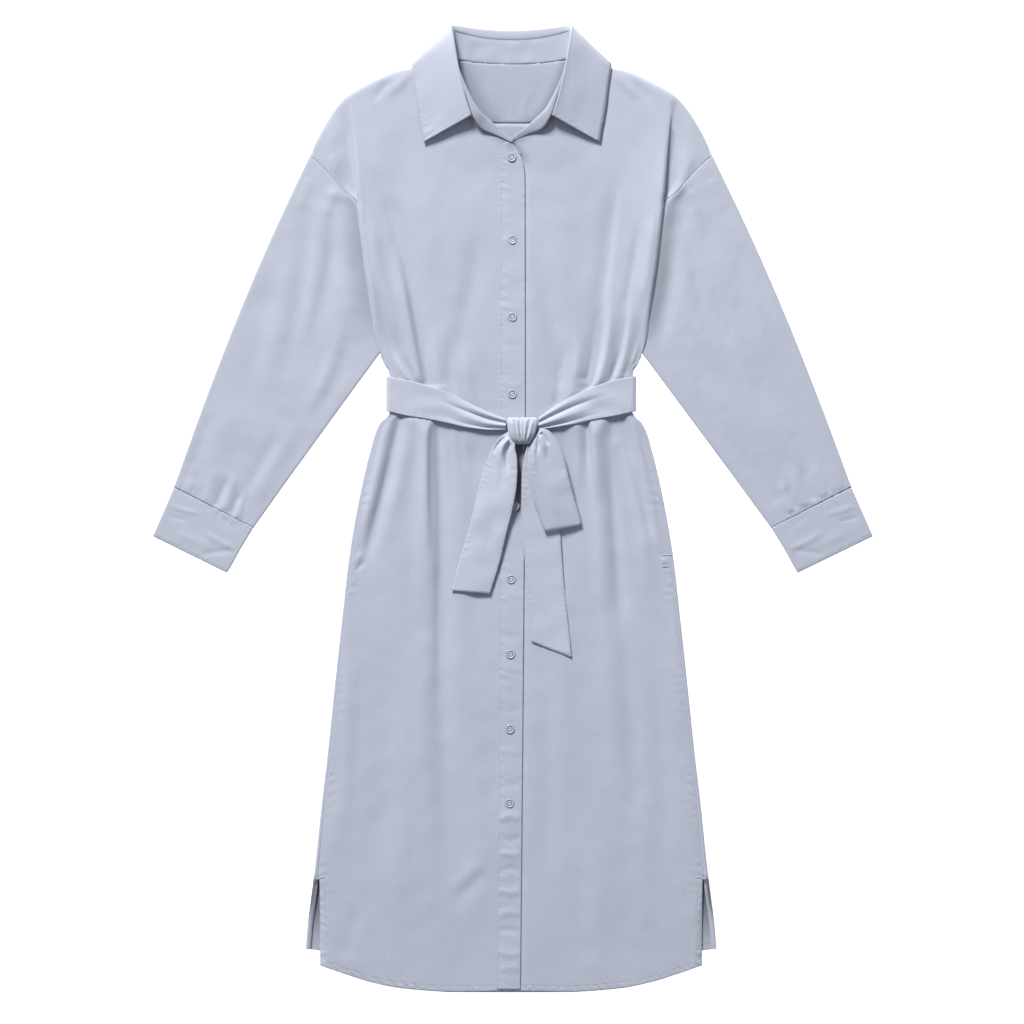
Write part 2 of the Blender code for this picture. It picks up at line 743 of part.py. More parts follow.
def back_yoke():
    half = np.array([0, 28, 56, 77, 100, 127, 140, 153, 187, 213, 232, 247, 260.5])
    xs = np.concatenate([-half[:0:-1], half])
    seam_x = xs / half[-1] * (YOKE_SEAM[-1][0] - SEAM_GAP)
    seam_y = look_up(YOKE_SEAM, np.abs(seam_x)) + SEAM_GAP / 2
    top = np.where(
        np.abs(xs) < NECK_HALF_WIDTH,
        look_up(BACK_NECK, np.abs(xs)),
        look_up(SHOULDER, np.abs(xs)),
    )
    rows = []
    for share in (0.0, 0.12, 0.3, 0.55, 0.8, 1.0):
        x = xs + (seam_x - xs) * share
        y = top + (seam_y - top) * share
        rows.append(stack(x, y, yoke_height(x, y)))
    return cloth("back_yoke", np.array(rows), BLUE_SHADE)


def armhole_shares():
    """The armhole seam as shares of the straight line between its ends, and
    how far it stands off that line."""
    seam = np.array([(row[1], row[0]) for row in ARMHOLE])
    line = seam[-1] - seam[0]
    along = (seam - seam[0]) @ line / (line @ line)
    return along, seam - seam[0] - along[:, None] * line


def tube_ring(width, shares, lifts):
    """One ring of a flattened tube as distances from its outer edge and
    heights: along the underside, round the inner edge, back over the top and
    round the outer edge."""
    radius = (SLEEVE_LEVEL - BACK_LEVEL) / 2
    middle = (SLEEVE_LEVEL + BACK_LEVEL) / 2
    turn = np.radians((-55.0, 0.0, 55.0))
    flat = radius + (width - 2 * radius) * shares
    inner = width - radius + radius * np.cos(turn)
    outer = radius - radius * np.cos(turn[::-1])
    distance = np.concatenate([flat, inner, flat[::-1], outer])
    up = middle + radius * np.sin(turn)
    top = (SLEEVE_LEVEL + lifts)[::-1]
    height = np.concatenate([np.full(len(flat), BACK_LEVEL), up, top, up[::-1]])
    return distance, height


def sleeve_lifts(t, shares):
    lift = np.zeros(len(shares))
    for start, end, spread, height in SLEEVE_FOLDS:
        middle = start + (end - start) * t
        lift += height * np.exp(-(((shares - middle) / spread) ** 2))
    across = ease(shares / 0.12) * ease((1 - shares) / 0.12)
    return lift * across * ease(t / 0.2) * ease((1 - t) / 0.1)


def tube(name, edges, samples, side, colour, from_armhole):
    """A sleeve or a cuff pressed flat between its outer and inner edges."""
    along, off_line = armhole_shares()
    rings = []
    for t, outer_x, outer_y, inner_x, inner_y in spline(edges, samples):
        width = math.hypot(inner_x - outer_x, inner_y - outer_y)
        lifts = sleeve_lifts(t, along) if from_armhole else np.zeros(len(along))
        distance, z = tube_ring(width, along, lifts)
        share = distance / width
        x = outer_x + (inner_x - outer_x) * share
        y = outer_y + (inner_y - outer_y) * share
        if from_armhole:
            left = (1 - t) ** 1.6
            x = x + np.interp(share, along, off_line[:, 0]) * left + SLEEVE_SHIFT * (1 - t)
            y = y + np.interp(share, along, off_line[:, 1]) * left - SLEEVE_SHIFT * (1 - t)
        if side > 0:
            x = x * (1 + LEFT_SLEEVE_STRETCH * (t if from_armhole else 1.0))
        rings.append(stack(side * x, y, z))
    return cloth(name, np.array(rings), colour, closed=True)


def mirrored_rows(table):
    """A table for one half, as rows from the left end round to the right."""
    rows = [tuple(row) for row in table]
    width = len(rows[0])
    left = []
    for row in rows[:0:-1]:
        flipped = list(row)
        for k in range(0, min(width, 9), 3):
            flipped[k] = -row[k]
        left.append(tuple(flipped))
    return left + rows


def bezier(a, b, c, d, t):
    s = 1.0 - t
    return a * s**3 + 3.0 * b * s**2 * t + 3.0 * c * s * t**2 + d * t**3


def collar_leaf():
    stations = spline(mirrored_rows(LEAF), 49)
    lip_steps = (0.0, 0.5, 0.85)
    leaf_steps = (0.0, 0.12, 0.3, 0.55, 0.8, 1.0)
    grid = []
    for row in stations:
        lip = row[0:3]
        roll = row[3:6]
        edge = row[6:9]
        knee = row[9]
        over = np.array([roll[0], roll[1], lip[2]])
        under = np.array([roll[0], roll[1], knee])
        reach = roll + (edge - roll) * 0.15
        reach[2] = knee + (edge[2] - knee) * 0.25
        points = [bezier(lip, (lip + over) / 2, over, roll, t) for t in lip_steps]
        points += [bezier(roll, under, reach, edge, t) for t in leaf_steps]
        grid.append(points)
    grid = np.array(grid)
    grid[..., 0] += COLLAR_CENTRE_X
    return cloth("collar_leaf", grid, BLUE_LIGHT)


def collar_stand():
    stations = spline(mirrored_rows(STAND), 49)
    steps = np.array([0.0, 0.22, 0.42, 0.6, 0.8, 1.0])
    grid = []
    for row in stations:
        top = row[0:3]
        roll = row[3:6]
        seam = row[6:9]
        pull = 2.0 * roll - 0.5 * (top + seam)
        points = []
        for t in steps:
            s = 1.0 - t
            points.append(top * s * s + 2.0 * pull * s * t + seam * t * t)
        grid.append(points)
    grid = np.array(grid)
    grid[..., 0] += COLLAR_CENTRE_X
    return cloth("collar_stand", grid, BLUE_LIGHT)


def belt_band():
    steps = (0.0, 0.33, 0.67, 1.0)
    grid = []
    for x, top_y, bottom_y, z in BAND:
        grid.append([(x, top_y + (bottom_y - top_y) * t, z) for t in steps])
    return cloth("belt_band", np.array(grid), BLUE_LIGHT, BELT_CLOTH)


def strip(name, table, samples, hollow, colour):
    """A length of the belt between two edges, hollowed along its middle."""
    stations = spline(table, samples)
    steps = (0.0, 0.33, 0.67, 1.0)
    grid = []
    for row in stations:
        left = row[0:3]
        right = row[3:6]
        points = []
        for t in steps:
            point = left + (right - left) * t
            point[2] += hollow * math.sin(math.pi * t)
            points.append(point)
        grid.append(points)
    return cloth(name, np.array(grid), colour, BELT_CLOTH)


def belt_knot():
    """Rounded rings from the knot's top to its bottom, closed at both ends."""
    points = []
    for y, centre, half, low, high in KNOT:
        for k in range(KNOT_SEGMENTS):
            angle = 2.0 * math.pi * k / KNOT_SEGMENTS
            across = math.cos(angle)
            up = math.sin(angle)
            x = centre + half * math.copysign(abs(across) ** KNOT_SQUARENESS, across)
            z = (low + high) / 2
            z += (high - low) / 2 * math.copysign(abs(up) ** KNOT_SQUARENESS, up)
            points.append((x, y, z))
    faces = [face[::-1] for face in grid_faces(len(KNOT), KNOT_SEGMENTS, closed=True)]
    faces.append(tuple(range(KNOT_SEGMENTS - 1, -1, -1)))
    last = (len(KNOT) - 1) * KNOT_SEGMENTS
    faces.append(tuple(range(last, last + KNOT_SEGMENTS)))
    return named_object("belt_knot", points, faces, BLUE_LIGHT, CLOTH_ROUGHNESS)


def button(number, x, y):
    points = [(0.0, 0.0, BUTTON_PROFILE[0][1])]
    for radius, z in BUTTON_PROFILE[1:-1]:
        for k in range(BUTTON_SEGMENTS):
            angle = 2.0 * math.pi * k / BUTTON_SEGMENTS
            points.append((radius * math.cos(angle), radius * math.sin(angle), z))
    points.append((0.0, 0.0, BUTTON_PROFILE[-1][1]))
    rings = len(BUTTON_PROFILE) - 2
    faces = []
    for k in range(BUTTON_SEGMENTS):
        after = (k + 1) % BUTTON_SEGMENTS
        faces.append((0, 1 + k, 1 + after))
        for r in range(rings - 1):
            a = 1 + r * BUTTON_SEGMENTS
            b = a + BUTTON_SEGMENTS
            faces.append((a + k, b + k, b + after, a + after))
        a = 1 + (rings - 1) * BUTTON_SEGMENTS
        faces.append((a + after, a + k, len(points) - 1))
    around = np.radians(np.arange(0, 360, 30))
    under = front_height(
        x + BUTTON_RADIUS * np.cos(around), y + BUTTON_RADIUS * np.sin(around)
    )
    base = float(under.max()) + LAYER + CLOTH / 2 + SEAM_GAP
    placed = np.array(points) + np.array([x, y, base])
    return named_object(f"button_{number}", placed, faces, BUTTON_BLUE, BUTTON_ROUGHNESS)


def clear_scene():
    for existing in list(bpy.data.objects):
        bpy.data.objects.remove(existing)


def build():
    clear_scene()
    back_panel()
    back_yoke()
    right_front()
    left_front()
    placket()
    for side, name in ((-1, "right"), (1, "left")):
        tube(f"sleeve_{name}", SLEEVE_EDGES, 13, side, BLUE, True)
        tube(f"cuff_{name}", CUFF_EDGES, 7, side, BLUE_LIGHT, False)
    collar_stand()
    collar_leaf()
    belt_band()
    belt_knot()
    strip("belt_loop", LOOP, 31, 0.0, BLUE_LIGHT)
    strip("belt_tail_right", RIGHT_TAIL, 17, 0.6, BLUE_LIGHT)
    strip("belt_tail_left", LEFT_TAIL, 17, 0.0, BLUE_LIGHT)
    for number, x, y in BUTTONS:
        button(number, x, y)


build()
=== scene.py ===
"""The looks of a belted shirt dress laid flat, front up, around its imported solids.

Lengths in every table are in millimetres in the solids' frame: X across the dress,
+Y towards the collar and +Z up from the surface. Sides are named as the wearer has
them, so the right front and sleeve are at negative X.
"""

import math

import bpy
import numpy as np
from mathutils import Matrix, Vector


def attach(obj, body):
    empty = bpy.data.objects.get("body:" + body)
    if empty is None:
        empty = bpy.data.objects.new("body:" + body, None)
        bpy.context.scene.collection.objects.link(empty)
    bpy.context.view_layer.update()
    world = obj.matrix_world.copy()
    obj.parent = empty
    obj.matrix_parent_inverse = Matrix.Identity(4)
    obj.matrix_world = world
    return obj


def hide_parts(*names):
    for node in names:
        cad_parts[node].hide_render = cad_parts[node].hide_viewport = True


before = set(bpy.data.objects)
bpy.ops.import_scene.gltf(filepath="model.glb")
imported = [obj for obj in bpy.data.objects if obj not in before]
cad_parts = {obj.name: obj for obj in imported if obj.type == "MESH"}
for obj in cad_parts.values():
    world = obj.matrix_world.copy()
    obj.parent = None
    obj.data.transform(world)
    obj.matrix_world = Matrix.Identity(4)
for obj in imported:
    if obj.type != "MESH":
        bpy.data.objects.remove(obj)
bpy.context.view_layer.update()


# ---------------------------------------------------------------------------
# The cloth. One pale blue cotton poplin for the whole dress: a close plain
# weave, matt, with a faint grain of uneven yarns and slow changes of tone.
# ---------------------------------------------------------------------------
MM = 0.001


class Shade:
    """A socket of a material. Arithmetic on it adds Math nodes, and node() adds any
    other node from its type, its settings and the values or links of its sockets."""

    def __init__(self, tree, socket=None):
        self.tree = tree
        self.socket = socket

    def node(self, kind, settings=(), inputs=(), output=0):
        made = self.tree.nodes.new(kind)
        for key, value in dict(settings).items():
            setattr(made, key, value)
        for key, value in dict(inputs).items():
            if isinstance(value, Shade):
                self.tree.links.new(value.socket, made.inputs[key])
            else:
                made.inputs[key].default_value = value
        return Shade(self.tree, made.outputs[output])

    def math(self, operation, first, second=0.0):
        return self.node("ShaderNodeMath", {"operation": operation}, {0: first, 1: second})

    def __add__(self, other):
        return self.math("ADD", self, other)

    def __sub__(self, other):
        return self.math("SUBTRACT", self, other)

    def __mul__(self, other):
        return self.math("MULTIPLY", self, other)

    def sine(self):
        return self.math("SINE", self)

    def bell(self, centre, width):
        """e to the minus square of the distance from the centre over the width."""
        off = (self - centre) * (1.0 / width)
        return self.math("EXPONENT", off * off * -1.0)

    def blend(self, first, second):
        """A colour between two, self being the share of the second."""
        inputs = {0: self, 6: first, 7: second}
        return self.node("ShaderNodeMix", {"data_type": "RGBA"}, inputs, 2)

    def stretched(self, where, scale):
        return self.node("ShaderNodeMapping", {}, {"Vector": where, "Scale": scale})

    def noise(self, where, scale, detail):
        inputs = {"Vector": where, "Scale": scale, "Detail": detail}
        return self.node("ShaderNodeTexNoise", {}, inputs)


THREAD_PITCH = 0.62 * MM
STITCH_PITCH = 3.0 * MM
CLOTH_BLUE = (0.500, 0.532, 0.634)
CLOTH_DIM = 0.935
CLOTH_BRIGHT = 1.05
FURROW_WIDTH = 0.75
# Painted shade: a stitch furrow is darkened towards the cloth's colour times this
FURROW_SHADE_DIM = 0.62
STITCH_WIDTH = 0.28
STITCH_BRIGHT = 1.12
# Painted shade: shaded cloth is darkened towards its colour times this
PAINTED_SHADE_DIM = 0.12
FINE_GRAIN = 620.0
SLOW_GRAIN = 17.0
YARN_GRAIN = (520.0, 26.0, 1.0)
GATHERS = (300.0, 110.0, 1.0)
GATHERS_ON_STRIP = (110.0, 300.0, 1.0)
BUMP_DEPTH = 0.22 * MM


def tinted(colour, factor):
    """A colour times a factor, none of its parts above 1, with full opacity."""
    return (*[min(1.0, part * factor) for part in colour], 1.0)


def poplin(name, colour=CLOTH_BLUE, stitch_lines=(), tight=(), strip=False, shaded=False):
    """Weave height: sine of u times sine of v, one over and under to each pitch, plus
    fine noise. Colour: slow noise, yarn streaks and fine noise between a dim and a
    bright tone. A stitch line is a bell-shaped furrow where the attribute edge_mm has
    that value, darkened in colour as painted shade, with dashes of thread in it. Each
    tight row (edge_mm, reach, height) puckers the cloth there with noise drawn out
    square to the edge, which runs along v on a strip and u elsewhere. A shaded cloth
    has painted shade: it is toned down by its attribute shade, in its deep narrow gaps."""
    made = bpy.data.materials.new(name)
    made.use_nodes = True
    tree = made.node_tree
    start = Shade(tree)
    cut = start.node("ShaderNodeUVMap", {"uv_map": "cut"})
    across = start.node("ShaderNodeSeparateXYZ", {}, {0: cut})
    down = Shade(tree, across.socket.node.outputs[1])
    turn = 2.0 * math.pi / THREAD_PITCH
    weave = (across * turn).sine() * (down * turn).sine()
    place = start.node("ShaderNodeTexCoord", {}, {}, 3)
    grain = start.noise(place, FINE_GRAIN, 3.0)
    mottle = start.noise(place, SLOW_GRAIN, 3.0)
    yarns = start.noise(start.stretched(cut, YARN_GRAIN), 1.0, 2.0)
    share = mottle * 0.6 + yarns * 0.45 + grain * 0.9 - 0.47
    share = start.node("ShaderNodeClamp", {}, {0: share})
    tone = share.blend(tinted(colour, CLOTH_DIM), tinted(colour, CLOTH_BRIGHT))
    height = weave * 0.25 + grain + yarns * 0.35
    if stitch_lines or tight:
        edge = start.node("ShaderNodeAttribute", {"attribute_name": "edge_mm"}, {}, 2)
    for line in stitch_lines:
        furrow = edge.bell(line, FURROW_WIDTH)
        run = down if strip else across
        pulse = (run * (2.0 * math.pi / STITCH_PITCH)).sine() * 3.0 + 1.5
        dash = start.node("ShaderNodeClamp", {}, {0: pulse})
        thread = edge.bell(line, STITCH_WIDTH) * dash
        height = height - furrow * 1.5 + thread * 1.6
        # Painted shade in the stitch furrow, on top of its sunk bump
        tone = (furrow * 0.26).blend(tone, tinted(colour, FURROW_SHADE_DIM))
        tone = (thread * 0.5).blend(tone, tinted(colour, STITCH_BRIGHT))
    if tight:
        scale = GATHERS_ON_STRIP if strip else GATHERS
        gathers = start.noise(start.stretched(cut, scale), 1.0, 1.0) - 0.5
        for line, reach, rise in tight:
            height = height + gathers * edge.bell(line, reach) * rise
    if shaded:
        # Painted shade: the colour is darkened towards a dim tone by the attribute shade
        painted_shade_share = start.node("ShaderNodeAttribute", {"attribute_name": "shade"}, {}, 2)
        tone = painted_shade_share.blend(tone, tinted(colour, PAINTED_SHADE_DIM))
    relief = {"Strength": 0.55, "Distance": BUMP_DEPTH, "Height": height}
    bump = start.node("ShaderNodeBump", {}, relief)
    shader = tree.nodes["Principled BSDF"]
    shader.inputs["Roughness"].default_value = 0.82
    shader.inputs["Sheen Weight"].default_value = 0.12
    shader.inputs["Sheen Roughness"].default_value = 0.5
    shader.inputs["Specular IOR Level"].default_value = 0.28
    tree.links.new(tone.socket, shader.inputs["Base Color"])
    tree.links.new(bump.socket, shader.inputs["Normal"])
    return made


# ---------------------------------------------------------------------------
# The back: one panel from the yoke seam to the rounded hem. It lies on the
# surface, its sides roll up to meet the fronts, and open below as the slits.
# ---------------------------------------------------------------------------
WALL = 0.9
SEAM_GAP = 0.3
LAYER = 1.5
BACK_LEVEL = 0.6
SLIT_TOP_Y = -482.0
UNDERARM_Y = 205.0
CHEST_Y = 366.0
BELT_TOP_Y = 177.0
BELT_BOTTOM_Y = 124.0
BELT_EASE = 32.0
# Below this the grids' rows bend into the curve of the hem
HEM_BEND_Y = -560.0
# Added to a distance where there is no sewn edge to measure it from
FAR = 400.0
SIDE = (
    # y, half_width
    (205.0, 169.5),
    (196.0, 168.0),
    (187.0, 163.0),
    (177.0, 157.6),
    (124.0, 157.6),
    (114.0, 169.0),
    (100.0, 176.0),
    (85.0, 180.5),
    (54.0, 188.5),
    (-8.0, 201.5),
    (-71.0, 211.5),
    (-133.0, 218.5),
    (-196.0, 225.5),
    (-258.0, 232.0),
    (-320.0, 238.5),
    (-383.0, 246.0),
    (-445.0, 252.4),
    (-482.0, 256.6),
    (-508.0, 260.0),
    (-539.0, 263.9),
    (-571.0, 266.5),
    (-630.0, 270.0),
)
SEAM_INSET = (
    # y, inset
    (205.0, 0.5),
    (187.0, 3.0),
    (100.0, 4.2),
    (-320.0, 4.6),
    (-440.0, 5.8),
    (-474.0, 6.4),
    (-482.0, 7.8),
    (-508.0, 11.5),
    (-539.0, 15.6),
    (-571.0, 18.4),
    (-592.0, 19.6),
    (-640.0, 21.0),
)
ARMHOLE = (
    # y, half_width
    (461.0, 260.8),
    (449.0, 247.0),
    (430.0, 228.8),
    (413.0, 214.5),
    (399.0, 199.0),
    (366.0, 188.5),
    (320.0, 180.0),
    (272.0, 174.5),
    (205.0, 169.5),
)
YOKE_SEAM = (
    # half_width, y
    (0.0, 503.2),
    (60.0, 503.0),
    (140.0, 491.0),
    (200.0, 468.0),
    (247.0, 448.8),
)
BACK_HEM = (
    # half_width, y
    (0.0, -627.4),
    (80.0, -627.2),
    (140.0, -617.0),
    (200.0, -594.0),
    (249.0, -573.0),
    (268.0, -570.5),
)
CURL_ANGLE = (
    # y, degrees the side is rolled up
    (-625.0, 180.0),
    (187.0, 180.0),
    (196.0, 60.0),
    (205.0, 0.0),
)
# Low ridges that lift the back off the surface, seen from below as furrows
BACK_CREASES = (
    # x1, y1, x2, y2, x3, y3, right_width, left_width, height, fade_in, fade_out
    (-92.0, 520.0, -98.0, 400.0, -88.0, 250.0, 9.0, 13.0, 1.1, 0.3, 0.4),
    (70.0, 495.0, 92.0, 380.0, 78.0, 240.0, 12.0, 8.0, 1.2, 0.3, 0.3),
    (-140.0, 330.0, -128.0, 250.0, -104.0, 182.0, 7.0, 5.0, 1.3, 0.4, 0.0),
    (-60.0, 290.0, -52.0, 235.0, -48.0, 182.0, 5.0, 7.0, 1.0, 0.5, 0.0),
    (12.0, 310.0, 4.0, 240.0, 8.0, 182.0, 6.0, 6.0, 0.8, 0.5, 0.0),
    (132.0, 300.0, 118.0, 240.0, 96.0, 182.0, 5.0, 7.0, 1.2, 0.4, 0.0),
    (-122.0, 118.0, -132.0, 20.0, -150.0, -110.0, 6.0, 9.0, 1.3, 0.0, 0.5),
    (-84.0, 118.0, -86.0, -40.0, -104.0, -290.0, 8.0, 12.0, 1.2, 0.0, 0.6),
    (-36.0, 118.0, -44.0, 30.0, -40.0, -90.0, 6.0, 6.0, 0.8, 0.0, 0.6),
    (20.0, 118.0, 26.0, -60.0, 18.0, -320.0, 9.0, 11.0, 1.0, 0.0, 0.6),
    (70.0, 118.0, 82.0, 10.0, 96.0, -160.0, 7.0, 8.0, 1.2, 0.0, 0.5),
    (118.0, 118.0, 136.0, 40.0, 158.0, -70.0, 9.0, 5.0, 1.3, 0.0, 0.4),
    (-190.0, -180.0, -180.0, -330.0, -196.0, -500.0, 14.0, 12.0, 0.8, 0.4, 0.4),
    (150.0, -220.0, 142.0, -360.0, 160.0, -540.0, 12.0, 14.0, 0.9, 0.4, 0.4),
)


def ease(t):
    """0 below 0, 1 above 1, and 3t² - 2t³ between."""
    t = np.clip(t, 0.0, 1.0)
    return t * t * (3.0 - 2.0 * t)


def rounded(t):
    """A quarter circle that rises from 0 to 1."""
    t = np.clip(t, 0.0, 1.0)
    return np.sqrt(1.0 - (1.0 - t) ** 2)


def sloped(t):
    """A parabola that rises from 0 to 1 and levels out."""
    t = np.clip(t, 0.0, 1.0)
    return t * (2.0 - t)


def smooth_through(keys, values, at):
    """Cubic between the keys whose slope at each is the harmonic mean of the slopes
    beside it, or 0 where they turn, so it never overshoots."""
    keys = np.asarray(keys, float)
    values = np.asarray(values, float).reshape(len(keys), -1)
    step = np.diff(keys)[:, None]
    rise = np.diff(values, axis=0) / step
    product = rise[:-1] * rise[1:]
    total = rise[:-1] + rise[1:]
    total = np.where(total == 0.0, 1.0, total)
    inner = np.where(product > 0.0, 2.0 * product / total, 0.0)
    slope = np.concatenate([rise[:1], inner, rise[-1:]])
    at = np.asarray(at, float)
    i = np.clip(np.searchsorted(keys, at, side="right") - 1, 0, len(keys) - 2)
    span = (keys[i + 1] - keys[i])[..., None]
    t = np.clip((at - keys[i])[..., None] / span, 0.0, 1.0)
    result = (
        values[i] * (2 * t**3 - 3 * t**2 + 1)
        + values[i + 1] * (3 * t**2 - 2 * t**3)
        + slope[i] * span * (t**3 - 2 * t**2 + t)
        + slope[i + 1] * span * (t**3 - t**2)
    )
    return result


def look_up(table, at, index=1):
    """A column of a table at values of its first column."""
    rows = np.array(sorted(table), float)
    return smooth_through(rows[:, 0], rows[:, index], at)[..., 0]


def rows_through(table, samples):
    """The table's rows as a smooth curve, sampled evenly from first to last."""
    keys = np.arange(len(table))
    return smooth_through(keys, table, np.linspace(0.0, len(table) - 1.0, samples))


def creases(x, y, table):
    """The sum of a table's ridges, or furrows where the height is negative. Each runs
    along a smooth line through three points. Across it the height is a bell with its
    own width on either hand, right and left as one goes along the line, and it fades
    in and out over shares of the line's length."""
    total = np.zeros(np.broadcast(x, y).shape)
    x = np.broadcast_to(x, total.shape)
    y = np.broadcast_to(y, total.shape)
    for x1, y1, x2, y2, x3, y3, right, left, height, fade_in, fade_out in table:
        line = smooth_through((0, 1, 2), ((x1, y1), (x2, y2), (x3, y3)), np.linspace(0, 2, 15))
        reach = 3.0 * max(right, left)
        low = line.min(0) - reach
        high = line.max(0) + reach
        near = (x > low[0]) & (x < high[0]) & (y > low[1]) & (y < high[1])
        if not near.any():
            continue
        px = x[near][:, None]
        py = y[near][:, None]
        step = np.diff(line, axis=0)
        length = np.hypot(step[:, 0], step[:, 1])
        along = ((px - line[:-1, 0]) * step[:, 0] + (py - line[:-1, 1]) * step[:, 1]) / length**2
        held = np.clip(along, 0.0, 1.0)
        off_x = px - line[:-1, 0] - held * step[:, 0]
        off_y = py - line[:-1, 1] - held * step[:, 1]
        away = np.hypot(off_x, off_y)
        pick = away.argmin(1)
        chosen = np.arange(len(pick))
        side = off_y * step[:, 0] - off_x * step[:, 1]
        signed = np.where(side[chosen, pick] >= 0.0, 1.0, -1.0) * away[chosen, pick]
        start = np.concatenate([[0.0], np.cumsum(length)])
        share = (start[pick] + held[chosen, pick] * length[pick]) / start[-1]
        width = np.where(signed < 0.0, right, left)
        fade = ease(share / max(fade_in, 0.02)) * ease((1.0 - share) / max(fade_out, 0.02))
        total[near] += height * fade * np.exp(-((signed / width) ** 2))
    return total


def drift(x, y, size, seed, stretch=1.0):
    """Slow unevenness between about -1 and 1: fourteen sine waves of about one size
    in random directions, longer along y by the stretch."""
    chance = np.random.default_rng(seed)
    total = np.zeros(np.broadcast(x, y).shape)
    for _ in range(14):
        angle = chance.uniform(0.0, math.pi)
        turn = 2.0 * math.pi / (size * chance.uniform(0.7, 1.6))
        phase = chance.uniform(0.0, 2.0 * math.pi)
        total += np.sin(turn * (x * math.cos(angle) + y / stretch * math.sin(angle)) + phase)
    return total / 5.0


def puckers(along, away, reach, seed):
    """Short wrinkles square to a seam: five sine waves along it, 6 to 16 mm long,
    gathered in patches and fading with the distance from the seam."""
    chance = np.random.default_rng(seed)
    total = np.zeros(np.broadcast(along, away).shape)
    for _ in range(5):
        turn = 2.0 * math.pi / chance.uniform(6.0, 16.0)
        lean = chance.uniform(-0.5, 0.5)
        phase = chance.uniform(0.0, 6.3)
        total += np.sin(turn * (along + lean * away) + phase)
    patch = 0.6 + 0.4 * np.sin(along * 0.05 + chance.uniform(0.0, 6.3))
    return total / 1.6 * patch * np.exp(-np.abs(away) / reach)


def stack(x, y, z):
    """X, Y and Z, spread over one grid, as points."""
    return np.stack(np.broadcast_arrays(x, y, z), axis=-1)


def distances(grid, axis):
    """Distance along a grid's lines from their start, in the grid's own unit."""
    step = np.linalg.norm(np.diff(grid, axis=axis), axis=-1)
    first = np.zeros_like(np.take(step, [0], axis=axis))
    return np.concatenate([first, np.cumsum(step, axis=axis)], axis=axis)


def grid_mesh(name, grid, material, closed=False, **marks):
    """A smooth mesh over a grid of points in mm, (rows, columns, 3). Its UV map, cut,
    holds metres along the columns and the rows. Marks, such as edge_mm, the distance
    from a sewn edge, and shade, the share of painted shade, are kept as its attributes."""
    rows, columns = grid.shape[:2]
    wide = columns if closed else columns - 1
    r, c = np.meshgrid(np.arange(rows - 1), np.arange(wide), indexing="ij")
    after = (c + 1) % columns
    corners = (r * columns + c, (r + 1) * columns + c, (r + 1) * columns + after, r * columns + after)
    quads = np.stack(corners, axis=-1).reshape(-1, 4)
    mesh = bpy.data.meshes.new(name)
    mesh.from_pydata((grid.reshape(-1, 3) * MM).tolist(), [], quads.tolist())
    ring = np.concatenate([grid, grid[:, :1]], axis=1) if closed else grid
    flat = np.stack([distances(ring, 1), distances(ring, 0)], axis=-1) * MM
    loops = np.stack([flat[r, c], flat[r + 1, c], flat[r + 1, c + 1], flat[r, c + 1]], axis=2)
    layer = mesh.uv_layers.new(name="cut")
    layer.data.foreach_set("uv", loops.astype(np.float32).ravel())
    for mark, values in marks.items():
        kept = mesh.attributes.new(mark, "FLOAT", "POINT")
        kept.data.foreach_set("value", np.broadcast_to(values, (rows, columns)).astype(np.float32).ravel())
    mesh.shade_smooth()
    mesh.materials.append(material)
    made = bpy.data.objects.new(name, mesh)
    bpy.context.scene.collection.objects.link(made)
    return made


def cloth_piece(name, node, grid, material, flat, area, rests_on, wall=WALL, **more):
    """A panel over a grid of its middle: walled, riding on the dress's one body and
    shown in place of its solid. Its size in mm, flat, is not used."""
    made = grid_mesh(name, grid, material, **more)
    walled = made.modifiers.new("wall", "SOLIDIFY")
    walled.thickness = wall * MM
    walled.offset = 0.0
    walled.use_even_offset = False
    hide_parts(node)
    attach(made, "root")


def belt_press(y):
    """1 where the belt holds the dress in, easing to 0 above and below."""
    above = ease((BELT_TOP_Y + BELT_EASE - y) / BELT_EASE)
    return above * ease((y - BELT_BOTTOM_Y + BELT_EASE) / BELT_EASE)


def curl_radius(y):
    """Radius of the rolled-up side, smaller under the belt and halved down the slit."""
    return (1.9 - 0.5 * belt_press(y)) * (1.0 - 0.5 * ease((SLIT_TOP_Y - 4.0 - y) / 60.0))


def back_height(y):
    """The back's level, raised where the belt holds the dress in."""
    return BACK_LEVEL + 1.9 * belt_press(y)


def curl_length(y):
    """Cloth beyond the flat part: the roll's half circle and the seam's inset less the
    roll's radius, or a short flat margin above the underarm, where nothing is rolled."""
    radius = curl_radius(y)
    length = math.pi * radius + np.clip(look_up(SEAM_INSET, y), radius + 0.4, 6.4) - radius
    return np.where(y >= UNDERARM_Y, 1.5, length)


def back_across(y, shares, turns):
    """X and Z across one half of the back at the heights y: shares of the flat part,
    then the side rolled up as an arc, x = sin(a)/a and z = (1 - cos(a))/a of its
    length, with a short straight end. The flat part ends where the roll's outermost
    point comes to the side's half width."""
    angle = np.maximum(np.radians(look_up(CURL_ANGLE, y)), 0.02)
    radius = curl_radius(y)
    length = curl_length(y)
    bend = np.minimum(math.pi * radius, 0.85 * length)
    reach = bend * np.sin(np.minimum(angle, math.pi / 2)) / angle
    reach = reach + (length - bend) * np.maximum(np.cos(angle), 0.0)
    edge = np.where(y >= UNDERARM_Y, look_up(ARMHOLE, y) - SEAM_GAP - length, look_up(SIDE, y) - reach)
    base = back_height(y)
    xs = [edge * share for share in shares]
    zs = [base for _ in shares]
    for part in turns:
        turned = angle * part
        xs.append(edge + bend * part * np.sin(turned) / turned)
        zs.append(base + bend * part * (1.0 - np.cos(turned)) / turned)
    xs.append(xs[-1] + (length - bend) * np.cos(angle))
    zs.append(zs[-1] + (length - bend) * np.sin(angle))
    return np.stack(xs, axis=-1), np.stack(zs, axis=-1)


def both_sides(x, z):
    """Rows of one half, as rows from the right side to the left."""
    return np.concatenate([-x[:, :0:-1], x], 1), np.concatenate([z[:, :0:-1], z], 1)


